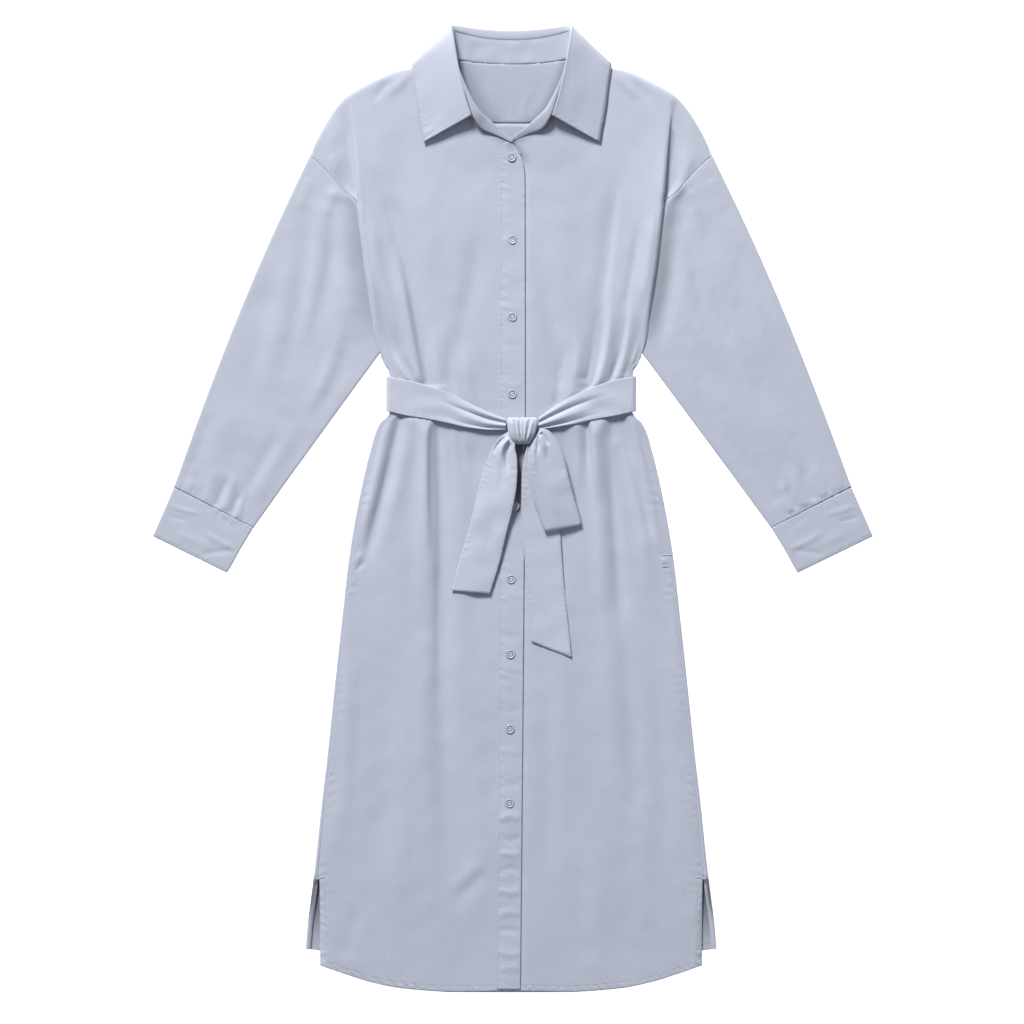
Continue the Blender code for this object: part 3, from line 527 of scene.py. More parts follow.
back_shares = np.concatenate([np.linspace(0.0, 0.93, 38), [0.95, 0.965, 0.98, 0.99, 1.0]])
back_turns = np.linspace(0.0, 1.0, 9)[1:]
level_ys = np.concatenate([np.linspace(CHEST_Y, -470.0, 140), np.linspace(-474.0, HEM_BEND_Y, 24)])
back_x, back_z = both_sides(*back_across(level_ys, back_shares, back_turns))
back_level = stack(back_x, level_ys[:, None], back_z)
seam_share = back_x[0] / back_x[0].max()
seam_x = seam_share * (YOKE_SEAM[-1][0] - SEAM_GAP)
seam_y = look_up(YOKE_SEAM, np.abs(seam_x)) - SEAM_GAP / 2
back_top = []
for fraction in np.linspace(0.0, 1.0, 22)[:-1]:
    top_y = seam_y + (CHEST_Y - seam_y) * fraction
    level_x = seam_share * (look_up(ARMHOLE, top_y) - SEAM_GAP)
    back_top.append(stack(seam_x + (level_x - seam_x) * ease(fraction / 0.15), top_y, BACK_LEVEL))
back_bottom = []
for fraction in np.linspace(0.0, 1.0, 13)[1:]:
    end_y = HEM_BEND_Y + (BACK_HEM[-1][1] - HEM_BEND_Y) * fraction
    end_x, end_z = both_sides(*back_across(np.array([end_y]), back_shares, back_turns))
    hem_y = look_up(BACK_HEM, np.abs(end_x[0]))
    back_bottom.append(stack(end_x[0], HEM_BEND_Y + (hem_y - HEM_BEND_Y) * fraction, end_z[0]))
back_grid = np.concatenate([np.array(back_top), back_level, np.array(back_bottom)])
back_half = np.abs(back_grid[..., 0])
back_y = back_grid[..., 1]
inside = ease((look_up(SIDE, back_y) - back_half - 8.0) / 25.0)
lift = np.maximum(creases(back_grid[..., 0], back_y, BACK_CREASES), 0.0)
lift = 0.7 * lift + 0.12 * (1.0 + drift(back_grid[..., 0], back_y, 60.0, 5, 2.0))
under_belt = ease((back_y - 108.0) / 10.0) * ease((192.0 - back_y) / 10.0)
back_grid[..., 2] += lift * inside * (1.0 - under_belt) * ease((470.0 - back_y) / 60.0)
back_down = distances(back_grid, 0)
back_over = distances(back_grid, 1)
back_side = np.minimum(back_over, back_over[:, -1:] - back_over)
back_side = back_side + FAR * ease((back_y - SLIT_TOP_Y + 4.0) / 4.0)
back_edge = np.minimum(back_down[-1] - back_down, back_side)
# Painted shade on the back's colour: how deep the back lies in shade in the slits, past their hems, and in
# the neck
slit_hem = 2.0 + 4.0 * ease((-480.0 - back_y) / 85.0)
in_slit = ease((back_half - 240.0) / 6.0) * ease((back_side - slit_hem) / 2.0)
in_slit = in_slit * ease((back_y + 590.0) / 95.0) * ease((-476.0 - back_y) / 4.0)
in_neck = 0.16 * ease((70.0 - back_half) / 10.0) * ease((back_y - 462.0) / 12.0)
back_cloth = poplin("poplin_back", stitch_lines=(7.0,), tight=((3.5, 3.0, 8.0),), shaded=True)
cloth_piece(
    "back_cloth",
    "back_panel",
    back_grid,
    back_cloth,
    (560.0, 1132.0),
    0.82,
    ["floor"],
    edge_mm=back_edge,
    shade=np.maximum(0.8 * in_slit, in_neck),
)


# ---------------------------------------------------------------------------
# The back yoke: the shaped piece across the shoulders. Its inside shows in the
# neck, with the seam to the back eased in, so it puckers there.
# ---------------------------------------------------------------------------
NECK_HALF = 77.0
YOKE_HALF = 260.5
COLLAR_CENTRE_X = 1.0
SHOULDER = (
    # half_width, y
    (77.0, 586.0),
    (100.0, 579.0),
    (127.0, 573.4),
    (140.0, 571.8),
    (153.0, 568.8),
    (187.0, 553.2),
    (213.0, 537.6),
    (227.5, 522.0),
    (238.0, 506.4),
    (247.0, 490.8),
    (254.8, 475.2),
    (260.8, 461.0),
)
BACK_NECK = (
    # half_width, y
    (0.0, 577.8),
    (27.0, 578.4),
    (55.0, 580.8),
    (73.0, 583.4),
    (77.0, 585.4),
)
# Soft creases of the yoke inside the neck
YOKE_CREASES = (
    # x1, y1, x2, y2, x3, y3, right_width, left_width, height, fade_in, fade_out
    (30.0, 548.0, 18.0, 528.0, 16.0, 506.0, 5.0, 5.0, 0.5, 0.4, 0.1),
    (-30.0, 556.0, -22.0, 530.0, -20.0, 506.0, 7.0, 6.0, 0.4, 0.4, 0.1),
    (0.0, 530.0, 1.0, 516.0, 1.0, 504.0, 4.0, 4.0, 0.35, 0.4, 0.0),
    (44.0, 566.0, 36.0, 545.0, 30.0, 520.0, 8.0, 8.0, -0.4, 0.4, 0.3),
)


def yoke_height(x, y):
    """The yoke lies on the back of the collar and eases down around it."""
    over_collar = ease((162.0 - np.abs(x)) / 30.0) * ease((y - 505.0) / 70.0) ** 0.8
    return BACK_LEVEL + 1.75 * over_collar


yoke_half = np.concatenate([np.linspace(0.0, NECK_HALF, 28), np.linspace(NECK_HALF + 2.0, YOKE_HALF, 56)])
yoke_x = np.concatenate([-yoke_half[:0:-1], yoke_half])
yoke_seam_x = yoke_x / yoke_half[-1] * (YOKE_SEAM[-1][0] - SEAM_GAP)
yoke_seam_y = look_up(YOKE_SEAM, np.abs(yoke_seam_x)) - 0.9
yoke_in_neck = np.abs(yoke_x) < NECK_HALF
yoke_top = look_up(SHOULDER, np.abs(yoke_x))
yoke_top = np.where(yoke_in_neck, look_up(BACK_NECK, np.abs(yoke_x)) + 1.4, yoke_top)
yoke_down = np.linspace(0.0, 1.0, 34)[:, None]
yoke_gx = yoke_x + (yoke_seam_x - yoke_x) * yoke_down
yoke_gy = yoke_top + (yoke_seam_y - yoke_top) * yoke_down
yoke_gz = yoke_height(yoke_gx, yoke_gy)
yoke_up = yoke_gy - yoke_seam_y
yoke_gz = yoke_gz + creases(yoke_gx, yoke_gy, YOKE_CREASES)
yoke_gz = yoke_gz + 0.45 + 0.3 * puckers(yoke_gx, yoke_up, 7.0, 11) * ease(yoke_up / 2.0)
yoke_gz = yoke_gz - 0.45 * ease((yoke_gy - yoke_top + 2.2) / 2.0) * yoke_in_neck
# Painted shade: the yoke's colour is darker than the cloth's, as the inside of the neck lies in the collar's
# shade
NECK_SHADE_BLUE = (0.438, 0.468, 0.566)
NECK_OPENING = (
    # y, half_width between the collar's inner edges
    (503.0, 27.0),
    (519.4, 43.6),
    (535.8, 53.2),
    (562.0, 64.8),
    (595.0, 75.0),
    (623.0, 76.6),
)


def neck_shade(x, y):
    """How much painted shade the collar casts on a place inside it: a bell over the
    distance from the collar's inner edge, wider on the right side."""
    inside = np.maximum(look_up(NECK_OPENING, y) - np.abs(x - COLLAR_CENTRE_X), 0.0)
    return 0.36 * np.exp(-((inside / (14.5 - 5.5 * np.tanh(x / 30.0))) ** 2))


cloth_piece(
    "yoke_cloth",
    "back_yoke",
    stack(yoke_gx, yoke_gy, yoke_gz),
    poplin("poplin_yoke", NECK_SHADE_BLUE, stitch_lines=(1.8,), tight=((3.0, 5.0, 5.0),), shaded=True),
    (522.0, 137.0),
    0.66,
    ["collar_leaf"],
    edge_mm=yoke_up,
    shade=neck_shade(yoke_gx, yoke_gy),
)


# ---------------------------------------------------------------------------
# The two fronts: each runs from neck and shoulder to the curved hem, folds over
# its armhole, is drawn in by the belt and turned under at its edges. The right
# one laps over the left. Creases fall from the shoulders and fan from the belt.
# ---------------------------------------------------------------------------
SLEEVE_LEVEL = 4.2
FRONT_LEVEL = 5.3
NECK_LEVEL = 7.5
# Where the fold over the armhole starts, going down
FOLD_TOP_Y = 399.0
# The highest that a front lies under the belt's band
BAND_ROOM = 7.3
# The middle of the gap between the belt's tails
TAIL_GAP_X = 10.0
FOLD_LINE = (
    # y, half_width
    (545.0, 213.0),
    (497.0, 206.7),
    (458.0, 203.5),
    (430.0, 201.5),
    (399.0, 198.8),
    (366.0, 195.5),
    (320.0, 190.0),
    (285.0, 184.8),
    (233.0, 176.5),
    (205.0, 169.8),
)
NECKLINE = (
    # half_width, y
    (0.0, 477.0),
    (16.0, 490.0),
    (31.0, 498.5),
    (44.0, 511.0),
    (54.0, 533.0),
    (64.0, 558.0),
    (72.0, 577.0),
    (77.0, 586.0),
)
FRONT_HEM = (
    # half_width, y
    (0.0, -624.8),
    (75.0, -626.2),
    (140.0, -621.8),
    (181.0, -613.8),
    (217.0, -602.6),
    (247.0, -592.3),
)
PLACKET = (
    # y, stitch_x, edge_x
    (479.0, -6.5, 1.0),
    (472.0, -12.5, 4.8),
    (466.0, -14.0, 8.6),
    (460.0, -14.5, 12.0),
    (454.0, -14.5, 14.4),
    (447.0, -14.5, 16.2),
    (430.0, -14.5, 17.8),
    (142.0, -14.5, 18.2),
    (-185.0, -15.8, 15.8),
    (-625.0, -19.0, 11.8),
)
TOP_COLUMNS = (
    # share, half_width on the neckline and the shoulder
    (0.0, 0.0),
    (0.10, 14.0),
    (0.2, 30.0),
    (0.3, 46.0),
    (0.42, 60.0),
    (0.54, 77.0),
    (0.64, 108.0),
    (0.74, 140.0),
    (0.83, 170.0),
    (0.91, 192.0),
    (1.0, 206.0),
)
RIGHT_FRONT_CREASES = (
    # x1, y1, x2, y2, x3, y3, right_width, left_width, height, fade_in, fade_out
    # valley from the shoulder to the belt
    (-188, 467, -142, 344, -102, 154, 9, 13, -3.6, 0.35, 0.0),
    # fold that lies over the valley's foot
    (-152, 350, -133, 249, -114, 143, 12, 4.4, 4.3, 0.45, 0.0),
    (-186, 402, -174, 322, -144, 207, 8, 9, 2.6, 0.3, 0.2),
    (-181, 322, -166, 257, -139, 159, 5.2, 6, -2.0, 0.4, 0.0),
    (-156, 213, -146, 189, -126, 149, 4.5, 2.9, 3.2, 0.5, 0.0),
    (-166, 215, -159, 193, -145, 151, 4.5, 2.9, 2.7, 0.5, 0.0),
    (-142, 205, -134, 187, -118, 146, 3.9, 3.9, -2.2, 0.5, 0.0),
    (-100, 244, -98, 201, -90, 140, 8, 5.2, 1.5, 0.5, 0.0),
    (-84, 233, -81, 194, -73, 136, 6, 6, -1.4, 0.5, 0.0),
    (-64, 218, -58, 181, -49, 130, 6, 6, 1.2, 0.5, 0.0),
    # soft folds over the chest and the drop shoulder
    (-73, 441, -64, 298, -73, 153, 26, 29, 1.7, 0.35, 0.1),
    (-35, 402, -53, 285, -84, 153, 13, 16, -1.9, 0.4, 0.1),
    (-228, 517, -231, 467, -225, 413, 5.2, 5.2, 1.5, 0.4, 0.2),
    (-216, 509, -216, 454, -211, 402, 5.2, 5.2, -1.5, 0.4, 0.2),
    (-165, 532, -150, 548, -129, 569, 6, 6, 1.2, 0.4, 0.3),
    (-181, 527, -170, 543, -157, 558, 5.2, 5.2, -1.0, 0.4, 0.3),
    (-139, 506, -144, 454, -139, 383, 16, 16, -1.2, 0.4, 0.4),
    (-105, 467, -108, 389, -98, 285, 18, 16, 1.2, 0.4, 0.4),
    # grooves and folds that leave the belt for the skirt
    (-140, 138, -160, 49, -191, -75, 6, 10, -3.5, 0.0, 0.2),
    (-127, 136, -142, 51, -165, -46, 10, 12, 2.2, 0.0, 0.4),
    (-158, 138, -173, 51, -199, -46, 9, 8, 2.2, 0.0, 0.3),
    (-109, 133, -110, 38, -107, -79, 9, 3.6, 4.0, 0.0, 0.5),
    (-112, 133, -112, 12, -109, -170, 12, 16, 2.9, 0.0, 0.4),
    (-94, 133, -91, -66, -94, -306, 8, 18, -4.3, 0.0, 0.4),
    (-91, -170, -87, -352, -82, -514, 13, 18, -2.4, 0.3, 0.5),
    (-117, -118, -113, -326, -105, -514, 13, 16, 1.5, 0.3, 0.5),
    (-79, 106, -74, -118, -64, -391, 17, 21, 1.7, 0.08, 0.4),
    (-53, 90, -46, -14, -46, -183, 12, 13, -1.4, 0.1, 0.4),
    (-94, 128, -86, 77, -84, 25, 5.2, 6, 1.5, 0.0, 0.5),
    (-70, 120, -65, 77, -62, 32, 5.2, 5.2, -1.2, 0.0, 0.5),
    # pocket mouth
    (-213, -83, -204, -80, -188, -67, 2.3, 3.6, -1.4, 0.2, 0.3),
    (-209, -60, -204, -55, -195, -49, 2.3, 3.4, -1.0, 0.2, 0.3),
    (-207, -68, -200, -64, -192, -55, 3.9, 3.9, 1.2, 0.3, 0.3),
    # lower skirt
    (-31, -454, -52, -471, -82, -499, 10, 8, 1.0, 0.3, 0.4),
    (-29, -465, -48, -487, -77, -515, 9, 12, -0.9, 0.3, 0.4),
    (-157, -170, -164, -326, -177, -488, 18, 18, -1.4, 0.3, 0.3),
    (-207, -170, -214, -326, -224, -462, 10, 10, 1.2, 0.3, 0.3),
    (-131, -248, -139, -404, -150, -560, 16, 16, 1.2, 0.3, 0.3),
    (-53, -248, -43, -404, -46, -573, 16, 13, 1.0, 0.3, 0.3),
    (-196, -508, -207, -547, -220, -588, 13, 10, -0.9, 0.4, 0.2),
)
LEFT_FRONT_CREASES = (
    # x1, y1, x2, y2, x3, y3, right_width, left_width, height, fade_in, fade_out
    # valley from the shoulder to the belt
    (139, 448, 127, 337, 100, 163, 14, 6, -2.7, 0.35, 0.0),
    # folds that lie over the valley's foot
    (131, 291, 125, 214, 106, 140, 3.4, 10, 3.7, 0.45, 0.0),
    (122, 278, 116, 211, 97, 139, 9, 3.4, -3.9, 0.4, 0.0),
    (159, 283, 150, 214, 132, 150, 3.4, 9, 3.6, 0.5, 0.0),
    (169, 228, 161, 198, 144, 154, 2.9, 5.2, 2.7, 0.5, 0.0),
    (143, 214, 136, 188, 123, 146, 3.9, 3.9, -2.0, 0.5, 0.0),
    (188, 402, 181, 337, 168, 257, 8, 9, 2.4, 0.35, 0.25),
    (168, 383, 159, 318, 144, 246, 6, 6, -1.5, 0.35, 0.25),
    (90, 233, 86, 194, 75, 135, 6, 8, 1.5, 0.5, 0.0),
    (72, 227, 66, 188, 57, 127, 6, 6, -1.4, 0.5, 0.0),
    # soft folds over the chest and the drop shoulder
    (31, 361, 49, 259, 66, 153, 12, 13, -1.7, 0.4, 0.1),
    (51, 370, 74, 259, 92, 158, 16, 16, 1.7, 0.4, 0.1),
    (87, 467, 95, 370, 100, 272, 17, 17, -1.0, 0.4, 0.4),
    (228, 517, 233, 467, 225, 415, 5.2, 5.2, 1.5, 0.4, 0.2),
    (216, 506, 217, 454, 209, 402, 5.2, 5.2, -1.5, 0.4, 0.2),
    (168, 532, 152, 548, 131, 569, 6, 6, 1.2, 0.4, 0.3),
    (183, 527, 173, 541, 159, 558, 5.2, 5.2, -1.0, 0.4, 0.3),
    # grooves and folds that leave the belt for the skirt
    (105, 128, 107, 77, 112, -1, 3.1, 10, 3.9, 0.0, 0.5),
    (113, 128, 116, -14, 124, -183, 10, 14, 2.7, 0.0, 0.4),
    (99, 127, 100, 77, 104, 25, 5.9, 3.9, -3.3, 0.0, 0.6),
    (132, 132, 136, -14, 147, -183, 10, 14, -3.5, 0.0, 0.3),
    (144, -118, 156, -274, 169, -469, 13, 16, -2.0, 0.3, 0.5),
    (121, -118, 130, -274, 143, -469, 16, 16, 1.5, 0.3, 0.5),
    (131, 103, 140, 12, 157, -118, 8, 8, 2.2, 0.1, 0.4),
    (140, 134, 160, 51, 187, -46, 6, 9, -3.1, 0.0, 0.2),
    (155, 125, 178, 25, 194, -55, 6, 6, 2.6, 0.0, 0.3),
    (152, 90, 170, -14, 183, -131, 8, 8, 1.5, 0.2, 0.4),
    (84, 120, 87, 64, 90, 6, 5.2, 6, 1.5, 0.0, 0.5),
    (67, 115, 70, 71, 73, 25, 5.2, 5.2, -1.2, 0.0, 0.5),
    # pocket mouth
    (192, -60, 202, -60, 211, -62, 2.3, 3.1, -1.0, 0.3, 0.2),
    (195, -75, 203, -74, 212, -75, 2.3, 3.4, -1.2, 0.3, 0.2),
    (195, -67, 203, -67, 211, -68, 3.9, 3.9, 1.5, 0.3, 0.2),
    # lower skirt
    (64, -66, 66, -196, 72, -365, 16, 16, 1.4, 0.2, 0.4),
    (46, -222, 48, -352, 49, -508, 12, 13, -1.2, 0.3, 0.3),
    (188, -170, 195, -326, 205, -475, 16, 13, -1.2, 0.3, 0.3),
    (118, -300, 114, -443, 117, -586, 21, 21, 1.2, 0.3, 0.3),
    (168, -365, 173, -469, 181, -573, 16, 13, 1.0, 0.3, 0.3),
    (83, -443, 90, -521, 95, -599, 13, 16, -0.9, 0.4, 0.2),
)
# Where the belt's band lies over the fronts
BAND_FRONT = (
    # x, top_y, bottom_y
    (-160.0, 172.4, 127.0),
    (-136.5, 168.4, 121.8),
    (-110.5, 161.9, 117.6),
    (-84.5, 152.8, 112.6),
    (-57.0, 139.8, 106.4),
    (-27.0, 125.5, 103.4),
    (14.0, 118.0, 103.0),
    (52.0, 130.7, 106.0),
    (77.4, 146.3, 110.0),
    (107.9, 159.3, 116.6),
    (136.5, 169.0, 121.8),
    (160.0, 172.2, 126.6),
)
CREST_INSET = 9.0
# The outermost columns: offsets from the fold over the armhole, and from the seam
BY_FOLD = (-4.0, -1.4, 0.2)
BY_SEAM = (-6.0, -3.4, -1.8, -0.7, 0.0)
TOP_BY_FOLD = (213.0, 224.0, 236.0, 248.0, 260.5)
# The turned-under edge: how far in and how far down
TURNED_UNDER = ((0.3, 0.5), (1.2, 0.95), (5.0, 1.05))
# The sewn edge, which laps over the piece next to it: how far out and how far down
LAPPED = ((0.5, 0.0), (1.0, 0.15), (1.35, 0.6))


def seam_height(y):
    """The height at which the front meets the rolled-up side of the back."""
    return back_height(y) + 2.0 * curl_radius(y)


def band_top_y(x):
    """Y of the belt band's upper edge over the fronts."""
    return look_up(BAND_FRONT, x)


def band_bottom_y(x):
    """Y of the belt band's lower edge over the fronts."""
    return look_up(BAND_FRONT, x, 2)


def front_edge(y):
    """Half width of a front: to the armhole's seam, then its fold, then the side seam."""
    armhole = np.where(y > FOLD_TOP_Y, look_up(ARMHOLE, y) - SEAM_GAP, look_up(FOLD_LINE, y))
    side = look_up(SIDE, y) - look_up(SEAM_INSET, y) - SEAM_GAP
    return np.where(y > UNDERARM_Y, armhole, side)


def front_top(x):
    """Y of a front's upper edge at a half width: the neckline, then the shoulder."""
    return np.where(x < NECK_HALF, look_up(NECKLINE, x), look_up(SHOULDER, x))


def front_height(x, y, table):
    """A flat level that rises to the neck and falls to the seams in a parabola; the
    fold over the armhole, a quarter circle running out as e to the minus distance; a
    tuck beside it; the creases and slow drift, where the logarithm of a sum of
    exponentials holds them under the belt; puckered seams; a bell-shaped dip between
    the belt's tails; and a quarter circle down to the yoke at the shoulder."""
    half = np.abs(x)
    near = front_edge(y) - half
    fold_near = look_up(FOLD_LINE, y) - half
    arm_part = ease((y - UNDERARM_Y) / 85.0) * ease((548.0 - y) / 150.0)
    crest = rounded(fold_near / 5.0) * np.exp(-np.maximum(fold_near - 5.0, 0.0) / 26.0)
    level = np.where((fold_near < 0.0) & (y > UNDERARM_Y), SLEEVE_LEVEL, FRONT_LEVEL)
    neck = ease((y - 430.0) / 60.0) * ease((110.0 - half) / 50.0)
    level = level + (NECK_LEVEL - FRONT_LEVEL) * neck
    at_edge = SLEEVE_LEVEL + LAYER * ease((401.0 - y) / 12.0)
    at_edge = at_edge + (seam_height(y) + 0.4 - at_edge) * ease((UNDERARM_Y + 10.0 - y) / 24.0)
    belt = ease((band_top_y(x) + 2.5 - y) / 5.0) * ease((y - band_bottom_y(x) + 2.5) / 5.0)
    height = at_edge + (level - at_edge) * sloped(near / 10.0)
    height = height + np.where(x > 0.0, 6.2, 5.0) * arm_part * crest
    below_belt = np.exp(-np.maximum(band_bottom_y(x) - y, 0.0) / 15.0) * (y < band_bottom_y(x) + 3.0)
    height = height + 1.1 * below_belt * ease(near / 30.0)
    beyond = np.maximum(-fold_near, 0.0)
    tuck = 2.6 * np.exp(-((beyond / 14.0) ** 2)) - 1.6 * np.exp(-(((beyond - 28.0) / 13.0) ** 2))
    height = height - tuck * (fold_near < 0.0) * arm_part * ease(near / 9.0)
    detail = creases(x, y, table)
    detail = detail + 0.55 * drift(x, y, 75.0, 21, 2.4) + 0.13 * drift(x, y, 24.0, 22, 1.6)
    detail = np.where(detail < -3.0, -3.0 + 0.2 * (detail + 3.0), detail)
    height = height + detail * (1.0 - belt) * ease(near / 12.0)
    clear = np.maximum(np.maximum(band_bottom_y(x) - y, y - band_top_y(x)), 0.0)
    height = -0.7 * np.logaddexp(-height / 0.7, -(BAND_ROOM + 0.3 * clear) / 0.7)
    side_seam = ease((UNDERARM_Y - y) / 30.0)
    height = height + 0.28 * puckers(y, near, 9.0, 31) * side_seam * ease(near / 1.5)
    arm_seam = ease((y - 405.0) / 12.0) * ease((455.0 - y) / 10.0)
    height = height + 0.35 * puckers(y * 1.3, near, 9.0, 32) * arm_seam * ease(near / 1.5)
    height = height + 0.35 * np.exp(-near / 3.0) * ease((y - 405.0) / 12.0)
    dip = 3.0 * np.exp(-(((x - TAIL_GAP_X) / 7.0) ** 2))
    height = height - dip * ease((92.0 - y) / 10.0) * ease((y + 30.0) / 40.0)
    at_shoulder = yoke_height(x, y) + LAYER
    below = rounded((front_top(half) - y) / 8.0)
    return np.where(half > 80.0, at_shoulder + (height - at_shoulder) * below, height)


def front_columns(y, shares, beyond_steps):
    """Half width of each column at the heights y: shares of the way to the crest of
    the fold, then steps beyond it."""
    edge = front_edge(y)
    fold = np.where(y < UNDERARM_Y, edge, np.minimum(look_up(FOLD_LINE, y), edge))
    beyond = edge - fold
    clear = [fold + inset for inset in BY_FOLD] + [fold + 0.5 * beyond, edge]
    at_seam = [edge + inset for inset in BY_SEAM]
    part = ease((beyond - 2.0) / 8.0)
    corner = [fold - CREST_INSET] + [a + (b - a) * part for a, b in zip(at_seam, clear)]
    corner = np.stack(corner)
    place = np.linspace(0.0, 5.0, beyond_steps + 1)[1:]
    low = np.minimum(place.astype(int), 4)
    outer = corner[low] + (corner[low + 1] - corner[low]) * (place - low).reshape(-1, *[1] * edge.ndim)
    inner = [(fold - CREST_INSET) * share for share in shares]
    return np.stack([*inner, *outer], axis=-1)


def front_plan(side, columns, beyond_steps):
    """X and Y of a front's grid, side -1 for the wearer's right: rows down from the
    neckline and shoulder to the chest, level rows, then rows that bend into the hem.
    The inner columns are drawn to the placket by the fifth power of 1 less their share."""
    shares = np.linspace(0.0, 1.0, columns)
    top_outer = np.array([TOP_COLUMNS[-1][1], *TOP_BY_FOLD])
    place = np.linspace(0.0, 5.0, beyond_steps + 1)[1:]
    top_x = np.concatenate([look_up(TOP_COLUMNS, shares), np.interp(place, np.arange(6), top_outer)])
    top_y = front_top(top_x)
    pull = np.concatenate([(1.0 - shares) ** 5, np.zeros(beyond_steps)])
    count = np.arange(len(top_x))
    xs = []
    ys = []
    for share in np.concatenate([[0.0, 0.006, 0.014, 0.024], np.linspace(0.04, 1.0, 72)[:-1]]):
        y = top_y + (CHEST_Y - top_y) * share
        level = front_columns(y, shares, beyond_steps)[count, count]
        blended = top_x + (level - top_x) * ease(share / 0.12)
        xs.append(np.minimum(blended, front_edge(y)))
        ys.append(y)
    for y in np.linspace(CHEST_Y, HEM_BEND_Y, 318):
        xs.append(front_columns(np.array(y), shares, beyond_steps))
        ys.append(np.full(len(top_x), y))
    for share in (*np.linspace(0.0, 0.93, 20)[1:], 0.96, 0.985, 1.0):
        y = HEM_BEND_Y + (FRONT_HEM[-1][1] - HEM_BEND_Y) * share
        x = front_columns(np.array(y), shares, beyond_steps)
        xs.append(x)
        ys.append(HEM_BEND_Y + (look_up(FRONT_HEM, x) - HEM_BEND_Y) * share)
    xs = np.array(xs)
    ys = np.array(ys)
    start = look_up(PLACKET, ys, 2 if side < 0 else 1) * -side - 1.0
    return side * (xs - start * pull), ys


def turned_edges(grid, side):
    """Adds the columns of the side and the rows of the turned-under hem, each a little
    further on. Below the slit's top the side is turned under as the hem is, and above
    it the side laps over the piece that it is sewn to."""
    free = ease((SLIT_TOP_Y + 6.0 - grid[:, -1, 1]) / 8.0)
    last = grid[:, -1]
    for (inset, drop), (out, down) in zip(TURNED_UNDER, LAPPED):
        shift_x = side * (out - (out + inset) * free)
        column = last + stack(shift_x, 0.0, -down - (drop - down) * free)
        grid = np.concatenate([grid, column[:, None]], axis=1)
    base = grid[-1]
    rows = [base + np.array([0.0, inset, -drop]) for inset, drop in TURNED_UNDER]
    return np.concatenate([grid, np.array(rows)], axis=0)


def hem_distance(x, y):
    """Distance in from the hem and, below the slit's top, from the slit's edge."""
    from_hem = y - look_up(FRONT_HEM, np.abs(x))
    from_side = front_edge(y) - np.abs(x) + FAR * ease((y - SLIT_TOP_Y - 4.0) / 4.0)
    return np.minimum(from_hem, from_side)


def gap_shade(x, y):
    """How much painted shade a place gets, the most of three: a bell across the narrow
    gap between the belt's tails, e to the minus distance below the belt, and a bell
    along the collar stand's front, whose line falls 0.61 per mm to the middle."""
    half = np.abs(x - COLLAR_CENTRE_X)
    tails = 0.75 * np.exp(-(((x - TAIL_GAP_X) / 8.0) ** 2))
    tails = tails * ease((96.0 - y) / 6.0) * ease((y + 40.0) / 70.0)
    below = band_bottom_y(x) - y
    belt = 0.15 * np.exp(-np.maximum(below, 0.0) / 22.0) * (below > -3.0)
    collar = 0.4 * np.exp(-(((y - 478.5 - 0.61 * half) / 11.0) ** 2)) * ease((62.0 - half) / 15.0)
    return np.maximum(tails, np.maximum(belt, collar))


fronts_cloth = poplin("poplin_fronts", stitch_lines=(7.0,), tight=((3.6, 3.0, 9.0),), shaded=True)


def front_piece(side, table, name, node):
    """One front, with short waves at its hem. The left one is sunk along the placket's
    edge and has painted shade beside its top, a bell over the distance from that edge."""
    x, y = front_plan(side, 78, 12)
    z = front_height(x, y, table)
    if side > 0:
        edge = look_up(PLACKET, y, 2)
        z = z - 0.9 * ease((edge + 6.6 - x) / 6.0)
    hem = hem_distance(x, y)
    hem_wave = puckers(x + 1.2 * y, hem, 7.0, 41 + side) * ease(hem / 1.5)
    z = z + (0.35 + 0.35 * ease((-585.0 - y) / 15.0)) * hem_wave * ease((-485.0 - y) / 20.0)
    grid = turned_edges(stack(x, y, z), side)
    edge = hem_distance(grid[..., 0], grid[..., 1])
    # Painted shade: in the gaps by the belt's tails, the belt and the collar stand, and on the left front
    # beside the placket's top
    shade = gap_shade(grid[..., 0], grid[..., 1])
    if side > 0:
        beside = np.maximum(grid[..., 0] - look_up(PLACKET, grid[..., 1], 2), 0.0)
        shade = np.maximum(shade, 0.4 * np.exp(-((beside / 8.0) ** 2)) * ease((grid[..., 1] - 446.0) / 14.0))
    cloth_piece(
        name, node, grid, fronts_cloth, (278.0, 1216.0), 0.80, ["back_cloth"], edge_mm=edge, shade=shade
    )


front_piece(-1, RIGHT_FRONT_CREASES, "front_cloth_right", "front_right")
front_piece(1, LEFT_FRONT_CREASES, "front_cloth_left", "front_left")


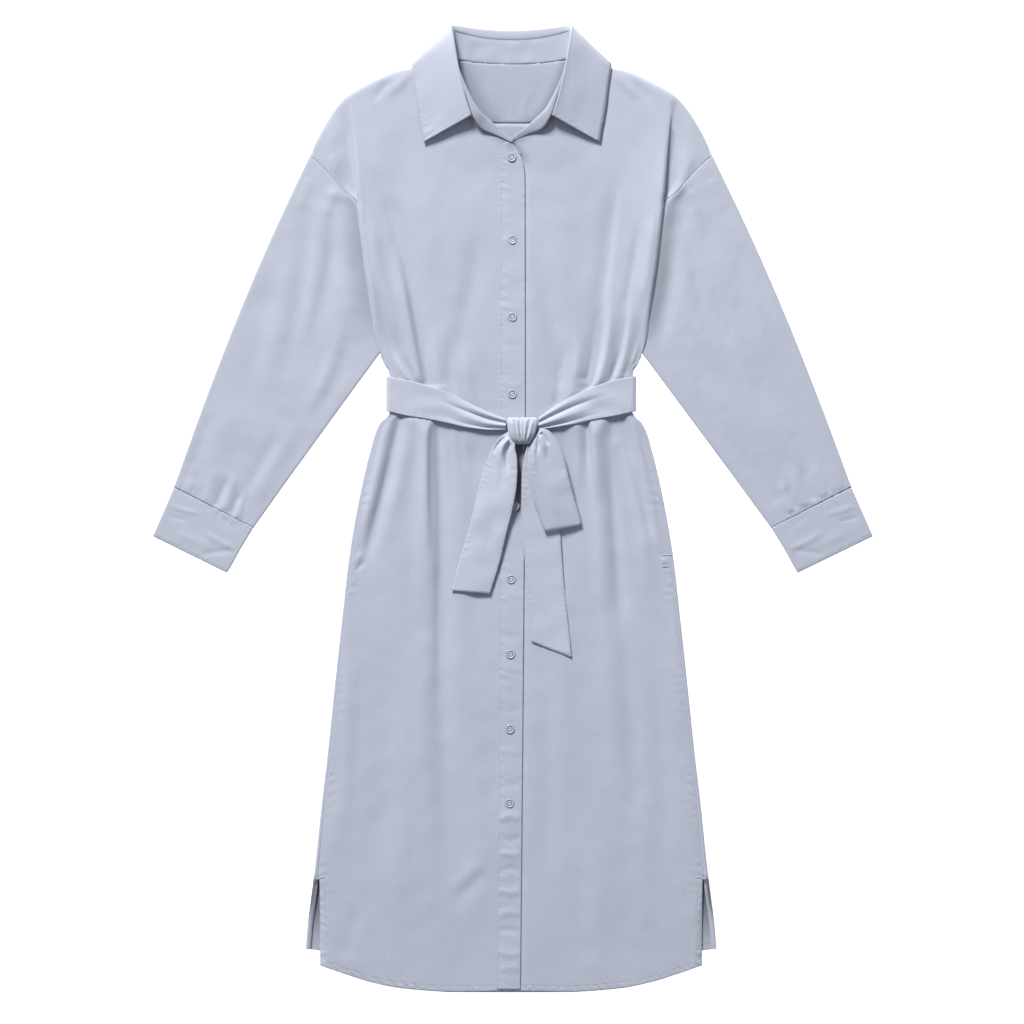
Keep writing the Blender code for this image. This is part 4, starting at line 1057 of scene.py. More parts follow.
# ---------------------------------------------------------------------------
# The placket: the strip of doubled poplin down the right front's edge, stitched
# along its inner side and slightly puckered there and between the buttons.
# ---------------------------------------------------------------------------
PLACKET_CREASES = (
    # x1, y1, x2, y2, x3, y3, right_width, left_width, height, fade_in, fade_out
    (-16.0, 352.0, -6.0, 350.0, 14.0, 346.0, 3.0, 3.0, 0.35, 0.2, 0.2),
    (-16.0, 268.0, -2.0, 262.0, 16.0, 258.0, 3.0, 3.0, 0.35, 0.2, 0.2),
    (-15.0, 218.0, 0.0, 214.0, 17.0, 214.0, 4.0, 4.0, -0.35, 0.2, 0.2),
    (-15.0, 166.0, 0.0, 160.0, 17.0, 164.0, 3.0, 3.0, 0.4, 0.2, 0.2),
    (-17.0, -118.0, 0.0, -110.0, 15.0, -112.0, 4.0, 4.0, 0.35, 0.2, 0.2),
    (-17.0, -160.0, -2.0, -166.0, 15.0, -164.0, 4.0, 4.0, -0.4, 0.2, 0.2),
    (-17.0, -212.0, 0.0, -206.0, 15.0, -210.0, 3.0, 4.0, 0.4, 0.2, 0.2),
    (-18.0, -256.0, 0.0, -262.0, 14.0, -258.0, 4.0, 4.0, -0.4, 0.2, 0.2),
    (-18.0, -318.0, 0.0, -312.0, 14.0, -318.0, 4.0, 3.0, 0.45, 0.2, 0.2),
    (-18.0, -352.0, -2.0, -358.0, 13.0, -354.0, 4.0, 4.0, -0.45, 0.2, 0.2),
    (-18.0, -404.0, 0.0, -398.0, 13.0, -404.0, 4.0, 5.0, 1.1, 0.2, 0.2),
    (-18.0, -424.0, 0.0, -430.0, 13.0, -424.0, 4.0, 4.0, -1.0, 0.2, 0.2),
    (-18.0, -446.0, 0.0, -448.0, 13.0, -446.0, 4.0, 4.0, 1.1, 0.2, 0.2),
    (-18.0, -470.0, 0.0, -466.0, 13.0, -472.0, 4.0, 4.0, -0.9, 0.2, 0.2),
    (-18.0, -494.0, 0.0, -498.0, 13.0, -492.0, 4.0, 4.0, 1.0, 0.2, 0.2),
    (-18.0, -530.0, 0.0, -522.0, 12.0, -528.0, 4.0, 4.0, 0.9, 0.2, 0.2),
    (-19.0, -548.0, 0.0, -546.0, 12.0, -552.0, 4.0, 4.0, -0.8, 0.2, 0.2),
    (-19.0, -572.0, 0.0, -578.0, 12.0, -574.0, 4.0, 4.0, 0.8, 0.2, 0.2),
    (-19.0, -598.0, 0.0, -594.0, 12.0, -600.0, 4.0, 4.0, 0.7, 0.2, 0.2),
)
placket_y = np.concatenate([np.linspace(477.4, 440.0, 26), np.linspace(437.0, -624.4, 366)])[:, None]
placket_left = look_up(PLACKET, placket_y, 1)
placket_right = look_up(PLACKET, placket_y, 2)
placket_share = np.array([0.0, 0.02, 0.05, 0.1, 0.2, 0.3, 0.4, 0.5, 0.6, 0.7, 0.8, 0.88, 0.94, 0.98, 1.0])
placket_x = placket_left + (placket_right - placket_left) * placket_share
placket_from = placket_x - placket_left
placket_z = front_height(placket_x, placket_y, ()) + 0.35 + 0.62 * ease(placket_share / 0.35)
placket_wave = creases(placket_x, placket_y, PLACKET_CREASES)
placket_wave = placket_wave + 0.3 * puckers(placket_y, placket_from - 1.5, 8.0, 51)
placket_wave = placket_wave + 0.2 * puckers(placket_y * 2.0, placket_from - 1.5, 3.5, 53)
placket_wave = placket_wave + 0.15 * puckers(placket_y, placket_right - placket_x, 8.0, 52)
placket_z = placket_z + np.maximum(placket_wave, -0.75) * ease(placket_from / 4.0)
placket_grid = stack(placket_x, placket_y, placket_z)
placket_end = [placket_grid[:, -1] - np.array([inset, 0.0, drop]) for inset, drop in TURNED_UNDER]
placket_grid = np.concatenate([placket_grid, np.stack(placket_end, axis=1)], axis=1)
cloth_piece(
    "placket_cloth",
    "placket",
    placket_grid,
    poplin("poplin_placket", stitch_lines=(1.6,), tight=((2.5, 5.0, 4.5),), strip=True, shaded=True),
    (36.0, 1103.0),
    1.0,
    ["front_cloth_right"],
    wall=0.7,
    edge_mm=placket_grid[..., 0] - placket_left,
    shade=gap_shade(placket_grid[..., 0], placket_grid[..., 1]),
)


# ---------------------------------------------------------------------------
# The sleeves: one wide piece each, sewn to a tube and set to the dropped
# armhole. They lie flat, two layers, with long soft folds down to the cuffs,
# where the fullness is eased in with small gathers.
# ---------------------------------------------------------------------------
SLEEVE_EDGES = (
    # along, outer_x, outer_y, inner_x, inner_y
    (0.0, 260.8, 461.0, 169.5, 205.0),
    (0.25, 309.0, 358.5, 209.8, 150.0),
    (0.5, 354.5, 252.0, 252.0, 92.0),
    (0.75, 397.5, 141.0, 294.0, 34.0),
    (1.0, 438.1, 28.5, 335.4, -24.0),
)
RIGHT_SLEEVE_CREASES = (
    # x1, y1, x2, y2, x3, y3, right_width, left_width, height, fade_in, fade_out
    (-225, 418, -234, 322, -264, 194, 11, 14, -2.0, 0.1, 0.5),
    (-259, 402, -274, 272, -300, 153, 14, 14, -1.4, 0.2, 0.4),
    (-304, 322, -339, 194, -373, 103, 18, 18, -1.3, 0.3, 0.3),
    (-243, 409, -254, 309, -282, 179, 11, 12, 1.3, 0.1, 0.4),
    (-280, 363, -300, 246, -329, 129, 14, 16, 1.2, 0.3, 0.4),
    (-202, 272, -222, 181, -266, 96, 12, 12, -0.8, 0.3, 0.4),
    (-214, 257, -238, 179, -274, 111, 9, 9, 1.2, 0.3, 0.4),
    (-324, 272, -352, 168, -396, 51, 16, 16, 0.9, 0.3, 0.3),
    (-274, 116, -306, 64, -339, 5, 12, 12, 1.0, 0.3, 0.2),
    (-295, 110, -324, 58, -355, 6, 9, 9, -0.9, 0.3, 0.1),
    (-389, 129, -404, 84, -417, 32, 11, 11, -0.8, 0.3, 0.1),
    (-358, 51, -365, 23, -373, -2, 5.3, 5.3, 1.2, 0.4, 0.0),
    (-368, 44, -376, 23, -384, 3, 5.3, 5.3, -1.2, 0.4, 0.0),
    (-384, 62, -390, 33, -396, 8, 7, 7, 1.0, 0.4, 0.0),
    (-344, 31, -350, 10, -356, -11, 5.3, 5.3, 1.0, 0.4, 0.0),
    (-351, 25, -358, 7, -364, -7, 4.2, 4.2, -1.0, 0.4, 0.0),
    (-410, 62, -415, 41, -420, 20, 7, 7, 0.8, 0.4, 0.0),
    (-261, 431, -269, 408, -277, 384, 7, 7, 0.8, 0.1, 0.4),
    (-230, 415, -235, 397, -240, 376, 5.3, 5.3, 0.8, 0.1, 0.4),
)
LEFT_SLEEVE_CREASES = (
    # x1, y1, x2, y2, x3, y3, right_width, left_width, height, fade_in, fade_out
    (225, 413, 237, 322, 266, 205, 11, 14, -1.7, 0.1, 0.5),
    (248, 396, 274, 272, 307, 153, 14, 16, -1.4, 0.2, 0.4),
    (280, 363, 307, 220, 344, 110, 14, 16, -1.0, 0.3, 0.3),
    (208, 370, 233, 266, 269, 153, 11, 12, 1.2, 0.1, 0.4),
    (261, 383, 289, 259, 324, 140, 14, 14, 1.2, 0.3, 0.4),
    (209, 272, 233, 207, 274, 110, 12, 12, -1.3, 0.3, 0.4),
    (295, 337, 326, 214, 370, 103, 16, 16, 0.9, 0.3, 0.3),
    (324, 233, 358, 142, 404, 41, 16, 16, -0.8, 0.3, 0.3),
    (246, 194, 282, 123, 332, 38, 12, 12, 1.0, 0.3, 0.3),
    (291, 110, 318, 58, 352, 5, 11, 11, -0.8, 0.3, 0.1),
    (363, 62, 370, 33, 381, 5, 7, 7, 1.2, 0.4, 0.0),
    (376, 64, 384, 36, 393, 12, 6, 6, -1.2, 0.4, 0.0),
    (391, 62, 399, 38, 407, 18, 7, 7, 1.0, 0.4, 0.0),
    (350, 41, 356, 20, 364, -2, 5.3, 5.3, 1.0, 0.4, 0.0),
    (356, 33, 364, 14, 372, 1, 4.2, 4.2, -1.0, 0.4, 0.0),
    (415, 64, 421, 46, 428, 25, 7, 7, 0.8, 0.4, 0.0),
    (261, 431, 269, 408, 277, 384, 7, 7, 0.8, 0.1, 0.4),
    (233, 415, 239, 397, 246, 376, 5.3, 5.3, 0.8, 0.1, 0.4),
)
LEFT_SLEEVE_STRETCH = 0.01
SLEEVE_LENGTH = 500.0
TUBE_BEND = 0.9
armhole_y = np.linspace(461.0, 205.0, 160)
armhole_line = np.stack([look_up(ARMHOLE, armhole_y), armhole_y], axis=-1)
armhole_chord = armhole_line[-1] - armhole_line[0]
armhole_along = (armhole_line - armhole_line[0]) @ armhole_chord / (armhole_chord @ armhole_chord)
armhole_off = armhole_line - armhole_line[0] - armhole_along[:, None] * armhole_chord


def tube_ring(width, over, under, bend):
    """One ring of a flattened tube as distances from its outer edge, heights and a
    mark that is 1 on top: along the underside, round the inner edge in a half ellipse,
    back over the top and round the outer edge."""
    radius = (SLEEVE_LEVEL - BACK_LEVEL) / 2
    middle = (SLEEVE_LEVEL + BACK_LEVEL) / 2
    turn = np.radians(np.linspace(-90.0, 90.0, bend + 2)[1:-1])
    top = TUBE_BEND + (width - 2 * TUBE_BEND) * np.linspace(0.0, 1.0, over)[::-1]
    bottom = TUBE_BEND + (width - 2 * TUBE_BEND) * np.linspace(0.0, 1.0, under)
    inner = width - TUBE_BEND + TUBE_BEND * np.cos(turn)
    outer = TUBE_BEND - TUBE_BEND * np.cos(turn[::-1])
    distance = np.concatenate([bottom, inner, top, outer])
    up = middle + radius * np.sin(turn)
    height = np.concatenate([np.full(under, BACK_LEVEL), up, np.full(over, SLEEVE_LEVEL), up[::-1]])
    part = (1 + np.sin(turn)) / 2
    mark = np.concatenate([np.zeros(under), part, np.ones(over), part[::-1]])
    return distance, height, mark


def sleeve_piece(side, table, name, node):
    """Rings from the armhole to the cuff. The first follows the armhole's curve, which
    fades along the sleeve as (1 - t) to the power 1.6. Beside the front's fold the top
    dips and swells in two bells, and the dip is darkened by painted shade."""
    grid = []
    edge_mm = []
    shade = []
    for row in smooth_through([r[0] for r in SLEEVE_EDGES], SLEEVE_EDGES, np.linspace(0.0, 1.0, 150)):
        t, outer_x, outer_y, inner_x, inner_y = row
        width = math.hypot(inner_x - outer_x, inner_y - outer_y)
        distance, z, mark = tube_ring(width, 74, 38, 7)
        share = distance / width
        fading = (1.0 - t) ** 1.6
        curve_x = np.interp(share, armhole_along, armhole_off[:, 0]) * fading
        curve_y = np.interp(share, armhole_along, armhole_off[:, 1]) * fading
        shift = 0.15 * (1.0 - t)
        x = outer_x + (inner_x - outer_x) * share + curve_x + shift
        y = outer_y + (inner_y - outer_y) * share + curve_y - shift
        if side > 0:
            x = x * (1.0 + LEFT_SLEEVE_STRETCH * t)
        x = side * x
        from_edges = ease(np.minimum(share, 1.0 - share) * width / 14.0)
        down = t * SLEEVE_LENGTH
        to_cuff = SLEEVE_LENGTH - down
        beyond = np.maximum(np.abs(x) - look_up(FOLD_LINE, y), 0.0)
        near_fold = ease((425.0 - y) / 20.0) * ease((y - 190.0) / 60.0) * ease(down / 12.0)
        # Painted shade beside the front's fold, a bell over the distance beyond it
        shade.append(0.24 * np.exp(-((beyond / 17.0) ** 2)) * near_fold)
        trough, swell = (0.0, 27.0) if side < 0 else (20.0, 0.0)
        dip = 2.9 * np.exp(-(((beyond - trough) / 13.0) ** 2))
        rise = 2.2 * np.exp(-(((beyond - swell) / 12.0) ** 2))
        tuck = (dip - rise) * ease((425.0 - y) / 20.0) * ease((y - 208.0) / 60.0) * ease(down / 12.0)
        wave = creases(x, y, table) + 0.4 * drift(x, y, 60.0, 61 + side, 1.5)
        wave = wave + 0.10 * drift(x, y, 22.0, 63 + side)
        wave = wave * ease(t / 0.03) * ease((1.0 - t) / 0.02)
        wave = wave + 0.2 * puckers(share * width, down, 8.0, 65 + side) * ease(down / 2.0)
        wave = wave + 0.35 * puckers(share * width, to_cuff, 13.0, 67 + side) * ease(to_cuff / 2.0)
        wave = wave + 0.2 * puckers(down, (1.0 - share) * width, 8.0, 69 + side)
        top_z = wave * from_edges - tuck
        top_z = top_z - 0.25 * np.exp(-down / 1.3) - 0.15 * np.exp(-to_cuff / 1.3)
        bottom_z = 0.7 * np.maximum(wave, 0.0) * from_edges
        grid.append(stack(x, y, z + np.where(mark > 0.5, top_z * mark, bottom_z * (1.0 - mark))))
        edge_mm.append(np.full(len(x), down))
    gathers = ((2.0, 5.0, 5.0), (498.0, 8.0, 5.0))
    cloth_piece(
        name,
        node,
        np.array(grid),
        poplin(f"poplin_{node}", stitch_lines=(1.6,), tight=gathers, shaded=True),
        (545.0, 470.0),
        0.54,
        ["floor", "back_cloth"],
        closed=True,
        edge_mm=np.array(edge_mm),
        shade=np.array(shade),
    )


sleeve_piece(-1, RIGHT_SLEEVE_CREASES, "sleeve_cloth_right", "sleeve_right")
sleeve_piece(1, LEFT_SLEEVE_CREASES, "sleeve_cloth_left", "sleeve_left")


# ---------------------------------------------------------------------------
# The cuffs: straight doubled bands closed to tubes and stitched 3 mm in from
# both long edges, lying flat with a few sharp little creases.
# ---------------------------------------------------------------------------
CUFF_DEPTH = 67.0
CUFF_EDGES = (
    # along, outer_x, outer_y, inner_x, inner_y
    (0.0, 437.9, 28.8, 335.2, -23.5),
    (0.45, 450.4, -0.2, 351.5, -50.5),
    (0.92, 463.1, -29.4, 366.5, -77.4),
    (1.0, 465.2, -34.4, 369.4, -81.6),
)
RIGHT_CUFF_CREASES = (
    # x1, y1, x2, y2, x3, y3, right_width, left_width, height, fade_in, fade_out
    (-446, 6, -422, -2, -396, -7, 2.9, 3.4, 0.6, 0.3, 0.4),
    (-448, -7, -433, -12, -417, -15, 2.6, 3.1, -0.5, 0.3, 0.4),
    (-402, -28, -378, -42, -355, -53, 3.9, 3.9, 0.7, 0.3, 0.2),
    (-407, -60, -382, -55, -358, -53, 3.9, 3.9, -0.7, 0.3, 0.2),
    (-436, -29, -410, -41, -386, -51, 6, 6, 0.5, 0.3, 0.3),
    (-386, -3, -370, -16, -352, -27, 3.9, 3.9, -0.4, 0.3, 0.3),
)
LEFT_CUFF_CREASES = (
    # x1, y1, x2, y2, x3, y3, right_width, left_width, height, fade_in, fade_out
    (451, 6, 425, -3, 402, -8, 3.4, 2.9, 0.5, 0.3, 0.4),
    (454, -8, 436, -14, 420, -16, 3.1, 2.6, -0.5, 0.3, 0.4),
    (407, -28, 384, -42, 360, -53, 3.9, 3.9, 0.6, 0.3, 0.2),
    (412, -60, 386, -55, 363, -53, 3.9, 3.9, -0.5, 0.3, 0.2),
    (441, -27, 415, -40, 391, -51, 6, 6, 0.4, 0.3, 0.3),
    (389, -3, 373, -16, 358, -27, 3.9, 3.9, -0.3, 0.3, 0.3),
)


def cuff_piece(side, table, name, node):
    """Rings from the sleeve's seam to the cuff's edge. The top dips at both, as e to
    the minus distance over about a millimetre."""
    grid = []
    edge_mm = []
    along = np.concatenate([np.linspace(0.0, 0.92, 38), np.linspace(0.93, 1.0, 8)])
    for row in smooth_through([r[0] for r in CUFF_EDGES], CUFF_EDGES, along):
        t, outer_x, outer_y, inner_x, inner_y = row
        width = math.hypot(inner_x - outer_x, inner_y - outer_y)
        distance, z, mark = tube_ring(width, 60, 30, 7)
        share = distance / width
        x = side * (outer_x + (inner_x - outer_x) * share)
        y = outer_y + (inner_y - outer_y) * share
        if side > 0:
            x = x * (1.0 + LEFT_SLEEVE_STRETCH)
        from_edges = ease(np.minimum(share, 1.0 - share) * width / 8.0)
        down = t * CUFF_DEPTH
        to_edge = CUFF_DEPTH - down
        wave = creases(x, y, table) + 0.12 * drift(x, y, 34.0, 71 + side)
        wave = wave + 0.22 * puckers(share * width, down, 8.0, 73 + side)
        wave = wave + 0.22 * puckers(share * width, to_edge, 8.0, 75 + side)
        wave = wave * ease(down / 2.5) * ease(to_edge / 2.5)
        top_z = 0.25 + wave * from_edges - 0.45 * np.exp(-down / 1.3) - 0.9 * np.exp(-to_edge / 0.8)
        bottom_z = 0.5 * np.maximum(wave, 0.0) * from_edges
        grid.append(stack(x, y, z + np.where(mark > 0.5, top_z * mark, bottom_z * (1.0 - mark))))
        edge_mm.append(np.full(len(x), min(down, to_edge)))
    cloth_piece(
        name,
        node,
        np.array(grid),
        poplin(f"poplin_{node}", stitch_lines=(3.0,), tight=((3.0, 4.0, 4.5),)),
        (226.0, 67.0),
        1.0,
        ["floor"],
        closed=True,
        edge_mm=np.array(edge_mm),
    )


cuff_piece(-1, RIGHT_CUFF_CREASES, "cuff_cloth_right", "cuff_right")
cuff_piece(1, LEFT_CUFF_CREASES, "cuff_cloth_left", "cuff_left")


# ---------------------------------------------------------------------------
# The collar stand: a curved doubled band sewn round the neck. It lies flat at the
# back, where its inner face shows, stands up at the sides of the neck and comes
# down to the placket in front, its right end over its left.
# ---------------------------------------------------------------------------
STAND = (
    # top_x, top_y, top_z, roll_x, roll_y, roll_z, seam_x, seam_y, seam_z
    (0.0, 615.0, 2.4, 0.0, 598.0, 2.35, 0.0, 578.5, 2.25),
    (28.0, 616.2, 2.4, 28.0, 598.6, 2.35, 27.0, 579.1, 2.25),
    (50.0, 619.6, 2.5, 51.0, 600.6, 2.5, 51.0, 581.6, 2.4),
    (64.0, 622.6, 3.4, 65.0, 603.0, 3.4, 66.5, 584.2, 3.2),
    (73.5, 623.4, 7.0, 74.0, 604.0, 6.2, 73.5, 587.4, 5.0),
    (77.0, 618.6, 13.0, 76.6, 603.0, 12.0, 76.0, 588.6, 7.6),
    (76.8, 604.0, 18.0, 75.4, 595.0, 16.2, 75.6, 586.4, 9.4),
    (67.6, 564.0, 20.2, 64.8, 562.0, 18.8, 66.5, 561.0, 9.6),
    (59.2, 536.6, 20.4, 53.2, 535.8, 18.9, 56.6, 535.5, 9.6),
    (51.0, 511.8, 19.4, 43.6, 519.4, 17.8, 46.4, 514.6, 9.4),
    (39.0, 493.4, 12.6, 30.6, 506.4, 13.2, 33.8, 501.6, 8.8),
    (25.0, 488.2, 9.6, 17.4, 495.0, 10.6, 20.4, 492.0, 8.4),
    (15.6, 484.6, 8.9, 11.8, 490.2, 9.8, 13.6, 487.6, 8.2),
    (4.0, 479.0, 8.6, 0.6, 480.8, 9.0, 2.4, 479.6, 8.0),
)


def mirrored_rows(table):
    """A table for one half, as rows from the right end round to the left."""
    left = []
    for row in table[:0:-1]:
        left.append([-v if k % 3 == 0 and k < 9 else v for k, v in enumerate(row)])
    return left + [list(row) for row in table]


def bezier(a, b, c, d, t):
    """The cubic Bezier curve from a to d, with b and c as its pulls."""
    s = 1.0 - t
    return a * s**3 + 3.0 * b * s**2 * t + 3.0 * c * s * t**2 + d * t**3


STAND_BLUE = (0.470, 0.500, 0.598)
stand_rows = rows_through(mirrored_rows(STAND), 190)[:, None, :]
stand_t = np.linspace(0.0, 1.0, 20)[None, :, None]
stand_pull = 2.0 * stand_rows[..., 3:6] - 0.5 * (stand_rows[..., 0:3] + stand_rows[..., 6:9])
stand_grid = (
    stand_rows[..., 0:3] * (1 - stand_t) ** 2
    + 2.0 * stand_pull * (1 - stand_t) * stand_t
    + stand_rows[..., 6:9] * stand_t**2
)
stand_grid[..., 0] += COLLAR_CENTRE_X
# The right end laps over the left one, towards the placket
stand_end = ease((495.0 - stand_grid[..., 1:2]) / 14.0)
stand_end = stand_end * (np.abs(stand_grid[..., 0:1] - COLLAR_CENTRE_X) < 40.0)
lapped_over = stand_rows[..., 0:1] < 0.0
stand_grid += stand_end * np.where(lapped_over, (3.4, -2.4, 0.35), (-1.2, 0.4, -1.0))
stand_run = distances(stand_grid, 0)[:, :1]
stand_fall = distances(stand_grid, 1)
stand_rest = stand_fall[:, -1:] - stand_fall
stand_back = ease((60.0 - np.abs(stand_grid[..., 0])) / 12.0) * ease((stand_grid[..., 1] - 560.0) / 20.0)
stand_back = stand_back * ease((stand_fall - 5.0) / 6.0)
stand_grid[..., 2] += 0.3 * (1.0 + puckers(stand_run, stand_rest, 8.0, 81)) * stand_back
stand_grid[..., 2] += 0.35 * drift(stand_grid[..., 0], stand_grid[..., 1], 26.0, 82) * stand_back
stand_cloth = poplin(
    "poplin_stand", STAND_BLUE, stitch_lines=(1.8,), tight=((3.0, 4.0, 4.0),), strip=True, shaded=True
)
cloth_piece(
    "stand_cloth",
    "collar_stand",
    stand_grid,
    stand_cloth,
    (420.0, 37.0),
    0.9,
    ["yoke_cloth"],
    edge_mm=np.minimum(stand_fall, stand_rest),
    shade=neck_shade(stand_grid[..., 0], stand_grid[..., 1]) * stand_back,
)


# ---------------------------------------------------------------------------
# The collar leaf: doubled poplin with two points, folded over the stand. It
# lies under the back of the neck, turns up at the sides and stands clear of
# the fronts, a little puckered 4 mm in from its outer edge and its ends.
# ---------------------------------------------------------------------------
LEAF = (
    # lip_x, lip_y, lip_z, roll_x, roll_y, roll_z, edge_x, edge_y, edge_z, knee_z
    (0.0, 609.5, 3.5, 0.0, 622.0, 2.5, 0.0, 558.4, 0.7, 0.7),
    (28.0, 610.9, 3.5, 28.0, 623.4, 2.5, 32.0, 558.6, 0.7, 0.7),
    (54.0, 615.6, 3.8, 54.0, 626.2, 2.8, 66.0, 559.5, 0.7, 0.7),
    (69.5, 620.0, 6.2, 71.5, 629.0, 4.6, 110.0, 567.8, 0.7, 0.9),
    (75.0, 621.6, 9.8, 77.0, 629.2, 8.0, 125.5, 578.0, 1.7, 3.6),
    (76.0, 620.5, 13.6, 78.8, 627.0, 12.2, 129.6, 579.4, 5.4, 9.6),
    (75.0, 613.0, 16.8, 77.6, 618.0, 16.4, 129.6, 571.5, 7.2, 15.6),
    (72.6, 596.5, 19.4, 74.2, 597.5, 19.8, 126.5, 551.5, 7.4, 19.0),
    (66.0, 560.3, 21.1, 67.4, 561.0, 21.5, 122.2, 519.0, 7.8, 20.6),
    (59.6, 534.4, 21.3, 61.0, 535.0, 21.7, 117.8, 493.5, 8.2, 20.8),
    (52.3, 510.9, 20.6, 53.2, 510.6, 21.0, 114.4, 477.0, 9.2, 20.4),
)
leaf_rows = rows_through(mirrored_rows(LEAF), 230)
lip = leaf_rows[:, 0:3]
roll = leaf_rows[:, 3:6]
outer = leaf_rows[:, 6:9]
knee = leaf_rows[:, 9]
over = roll.copy()
over[:, 2] = lip[:, 2]
under = roll.copy()
under[:, 2] = knee
reach = roll + (outer - roll) * 0.15
reach[:, 2] = knee + (outer[:, 2] - knee) * 0.25
tucked = np.array([0.0, 0.0, 1.3])
leaf_columns = []
for t in np.linspace(0.0, 0.93, 14):
    leaf_columns.append(bezier(lip, (lip + over) / 2, over, roll, t) - tucked * math.exp(-9.0 * t))
for t in np.linspace(0.0, 1.0, 34) ** 1.25:
    leaf_columns.append(bezier(roll, under, reach, outer, t))
leaf_grid = np.stack(leaf_columns, axis=1)
leaf_grid[..., 0] += COLLAR_CENTRE_X
leaf_out = distances(leaf_grid, 1)
leaf_from_edge = leaf_out[:, -1:] - leaf_out
leaf_run = distances(leaf_grid, 0)
leaf_from_end = np.minimum(leaf_run, leaf_run[-1:] - leaf_run)
leaf_show = ease((np.abs(leaf_grid[..., 0]) - 66.0) / 20.0)
leaf_edge_wave = 0.5 * puckers(leaf_run[:, -1:], leaf_from_edge, 8.0, 91) * leaf_show
leaf_grid[..., 2] += leaf_edge_wave * ease(leaf_from_edge / 1.5)
leaf_end_wave = 0.4 * puckers(leaf_out, leaf_from_end, 8.0, 92) * leaf_show
leaf_grid[..., 2] += leaf_end_wave * ease(leaf_from_end / 1.5)
leaf_grid[..., 2] += 0.35 * drift(leaf_grid[..., 0], leaf_grid[..., 1], 42.0, 93) * leaf_show
cloth_piece(
    "leaf_cloth",
    "collar_leaf",
    leaf_grid,
    poplin("poplin_leaf", tight=((4.0, 4.0, 6.0),), strip=True),
    (455.0, 80.0),
    0.92,
    ["front_cloth_right", "front_cloth_left"],
    wall=0.8,
    edge_mm=np.minimum(leaf_from_edge, leaf_from_end),
)


# ---------------------------------------------------------------------------
# The belt: a long doubled strip of the same poplin. Its band goes round the
# waist and gathers into two rolls towards the knot at the front.
# ---------------------------------------------------------------------------
BAND = (
    # x, top_y, bottom_y, z
    (-6.6, 118.0, 103.8, 11.4),
    (-27.0, 125.5, 103.4, 10.4),
    (-57.0, 139.8, 106.4, 9.2),
    (-84.5, 152.8, 112.6, 8.6),
    (-110.5, 161.9, 117.6, 8.3),
    (-136.5, 168.4, 121.8, 8.1),
    (-156.4, 172.2, 126.6, 7.6),
    (-160.6, 173.0, 127.8, 6.3),
    (-161.9, 173.4, 128.0, 4.1),
    (-160.6, 173.2, 128.2, 1.9),
    (-156.4, 173.0, 128.4, 0.8),
    (-60.0, 172.4, 127.4, 0.8),
    (60.0, 172.4, 127.4, 0.8),
    (156.4, 173.0, 128.4, 0.8),
    (160.6, 173.2, 128.2, 1.9),
    (161.9, 173.4, 128.0, 4.1),
    (160.6, 173.0, 127.8, 6.3),
    (156.4, 172.2, 126.2, 7.6),
    (136.5, 169.0, 121.8, 8.1),
    (107.9, 159.3, 116.6, 8.3),
    (77.4, 146.3, 110.0, 8.6),
    (52.0, 130.7, 106.0, 9.6),
    (35.8, 119.3, 103.8, 11.4),
)
# Rolls and furrows along the band: where they lie across it, as shares down from
# its top edge, at the side and at the knot
BAND_ROLLS = (
    # share_at_side, share_at_knot, width, height
    (0.20, 0.17, 0.12, 2.1),
    (0.36, 0.40, 0.05, -2.0),
    (0.55, 0.64, 0.16, 3.0),
    (0.82, 0.90, 0.045, -1.2),
    (0.92, 0.97, 0.06, 0.8),
)
BELT_WALL = 1.1
BELT_BLUE = (0.530, 0.563, 0.668)
BAND_DEPTH = 45.0
BAND_COLUMNS = 30
KNOT_X = 14.6
band_rows = rows_through(BAND, 330)
band_down = np.linspace(0.0, 1.0, BAND_COLUMNS)
band_x = np.repeat(band_rows[:, :1], BAND_COLUMNS, axis=1)
band_y = band_rows[:, 1:2] + (band_rows[:, 2:3] - band_rows[:, 1:2]) * band_down
band_z = np.repeat(band_rows[:, 3:4], BAND_COLUMNS, axis=1)
band_front = ease((band_rows[:, 3:4] - 6.9) / 0.4)
band_half = np.abs(band_x - KNOT_X)
band_gather = ease((120.0 - band_half) / 85.0)
for at_side, at_knot, width, height in BAND_ROLLS:
    middle = at_side + (at_knot - at_side) * band_gather
    band_z = band_z + height * band_gather * band_front * np.exp(-(((band_down - middle) / width) ** 2))
band_z = band_z - 1.2 * band_front * ease((46.0 - band_half) / 26.0)
band_from_top = band_down * BAND_DEPTH
band_pucker = 0.22 * band_front * (1.0 - band_gather)
band_z = band_z + band_pucker * puckers(band_x, band_from_top, 9.0, 101)
band_z = band_z + band_pucker * puckers(band_x, BAND_DEPTH - band_from_top, 9.0, 102)
band_z = band_z + 0.35 * band_front * drift(band_x, band_y, 50.0, 103, 0.4)
band_grid = stack(band_x, band_y, band_z)
belt_cloth = poplin("poplin_belt", BELT_BLUE, tight=((2.5, 4.0, 3.5),), strip=True)
cloth_piece(
    "band_cloth",
    "belt_band",
    band_grid,
    belt_cloth,
    (672.0, 46.0),
    0.93,
    ["front_cloth_right", "front_cloth_left", "back_cloth"],
    wall=BELT_WALL,
    edge_mm=BAND_DEPTH * np.minimum(band_down, 1.0 - band_down),
)


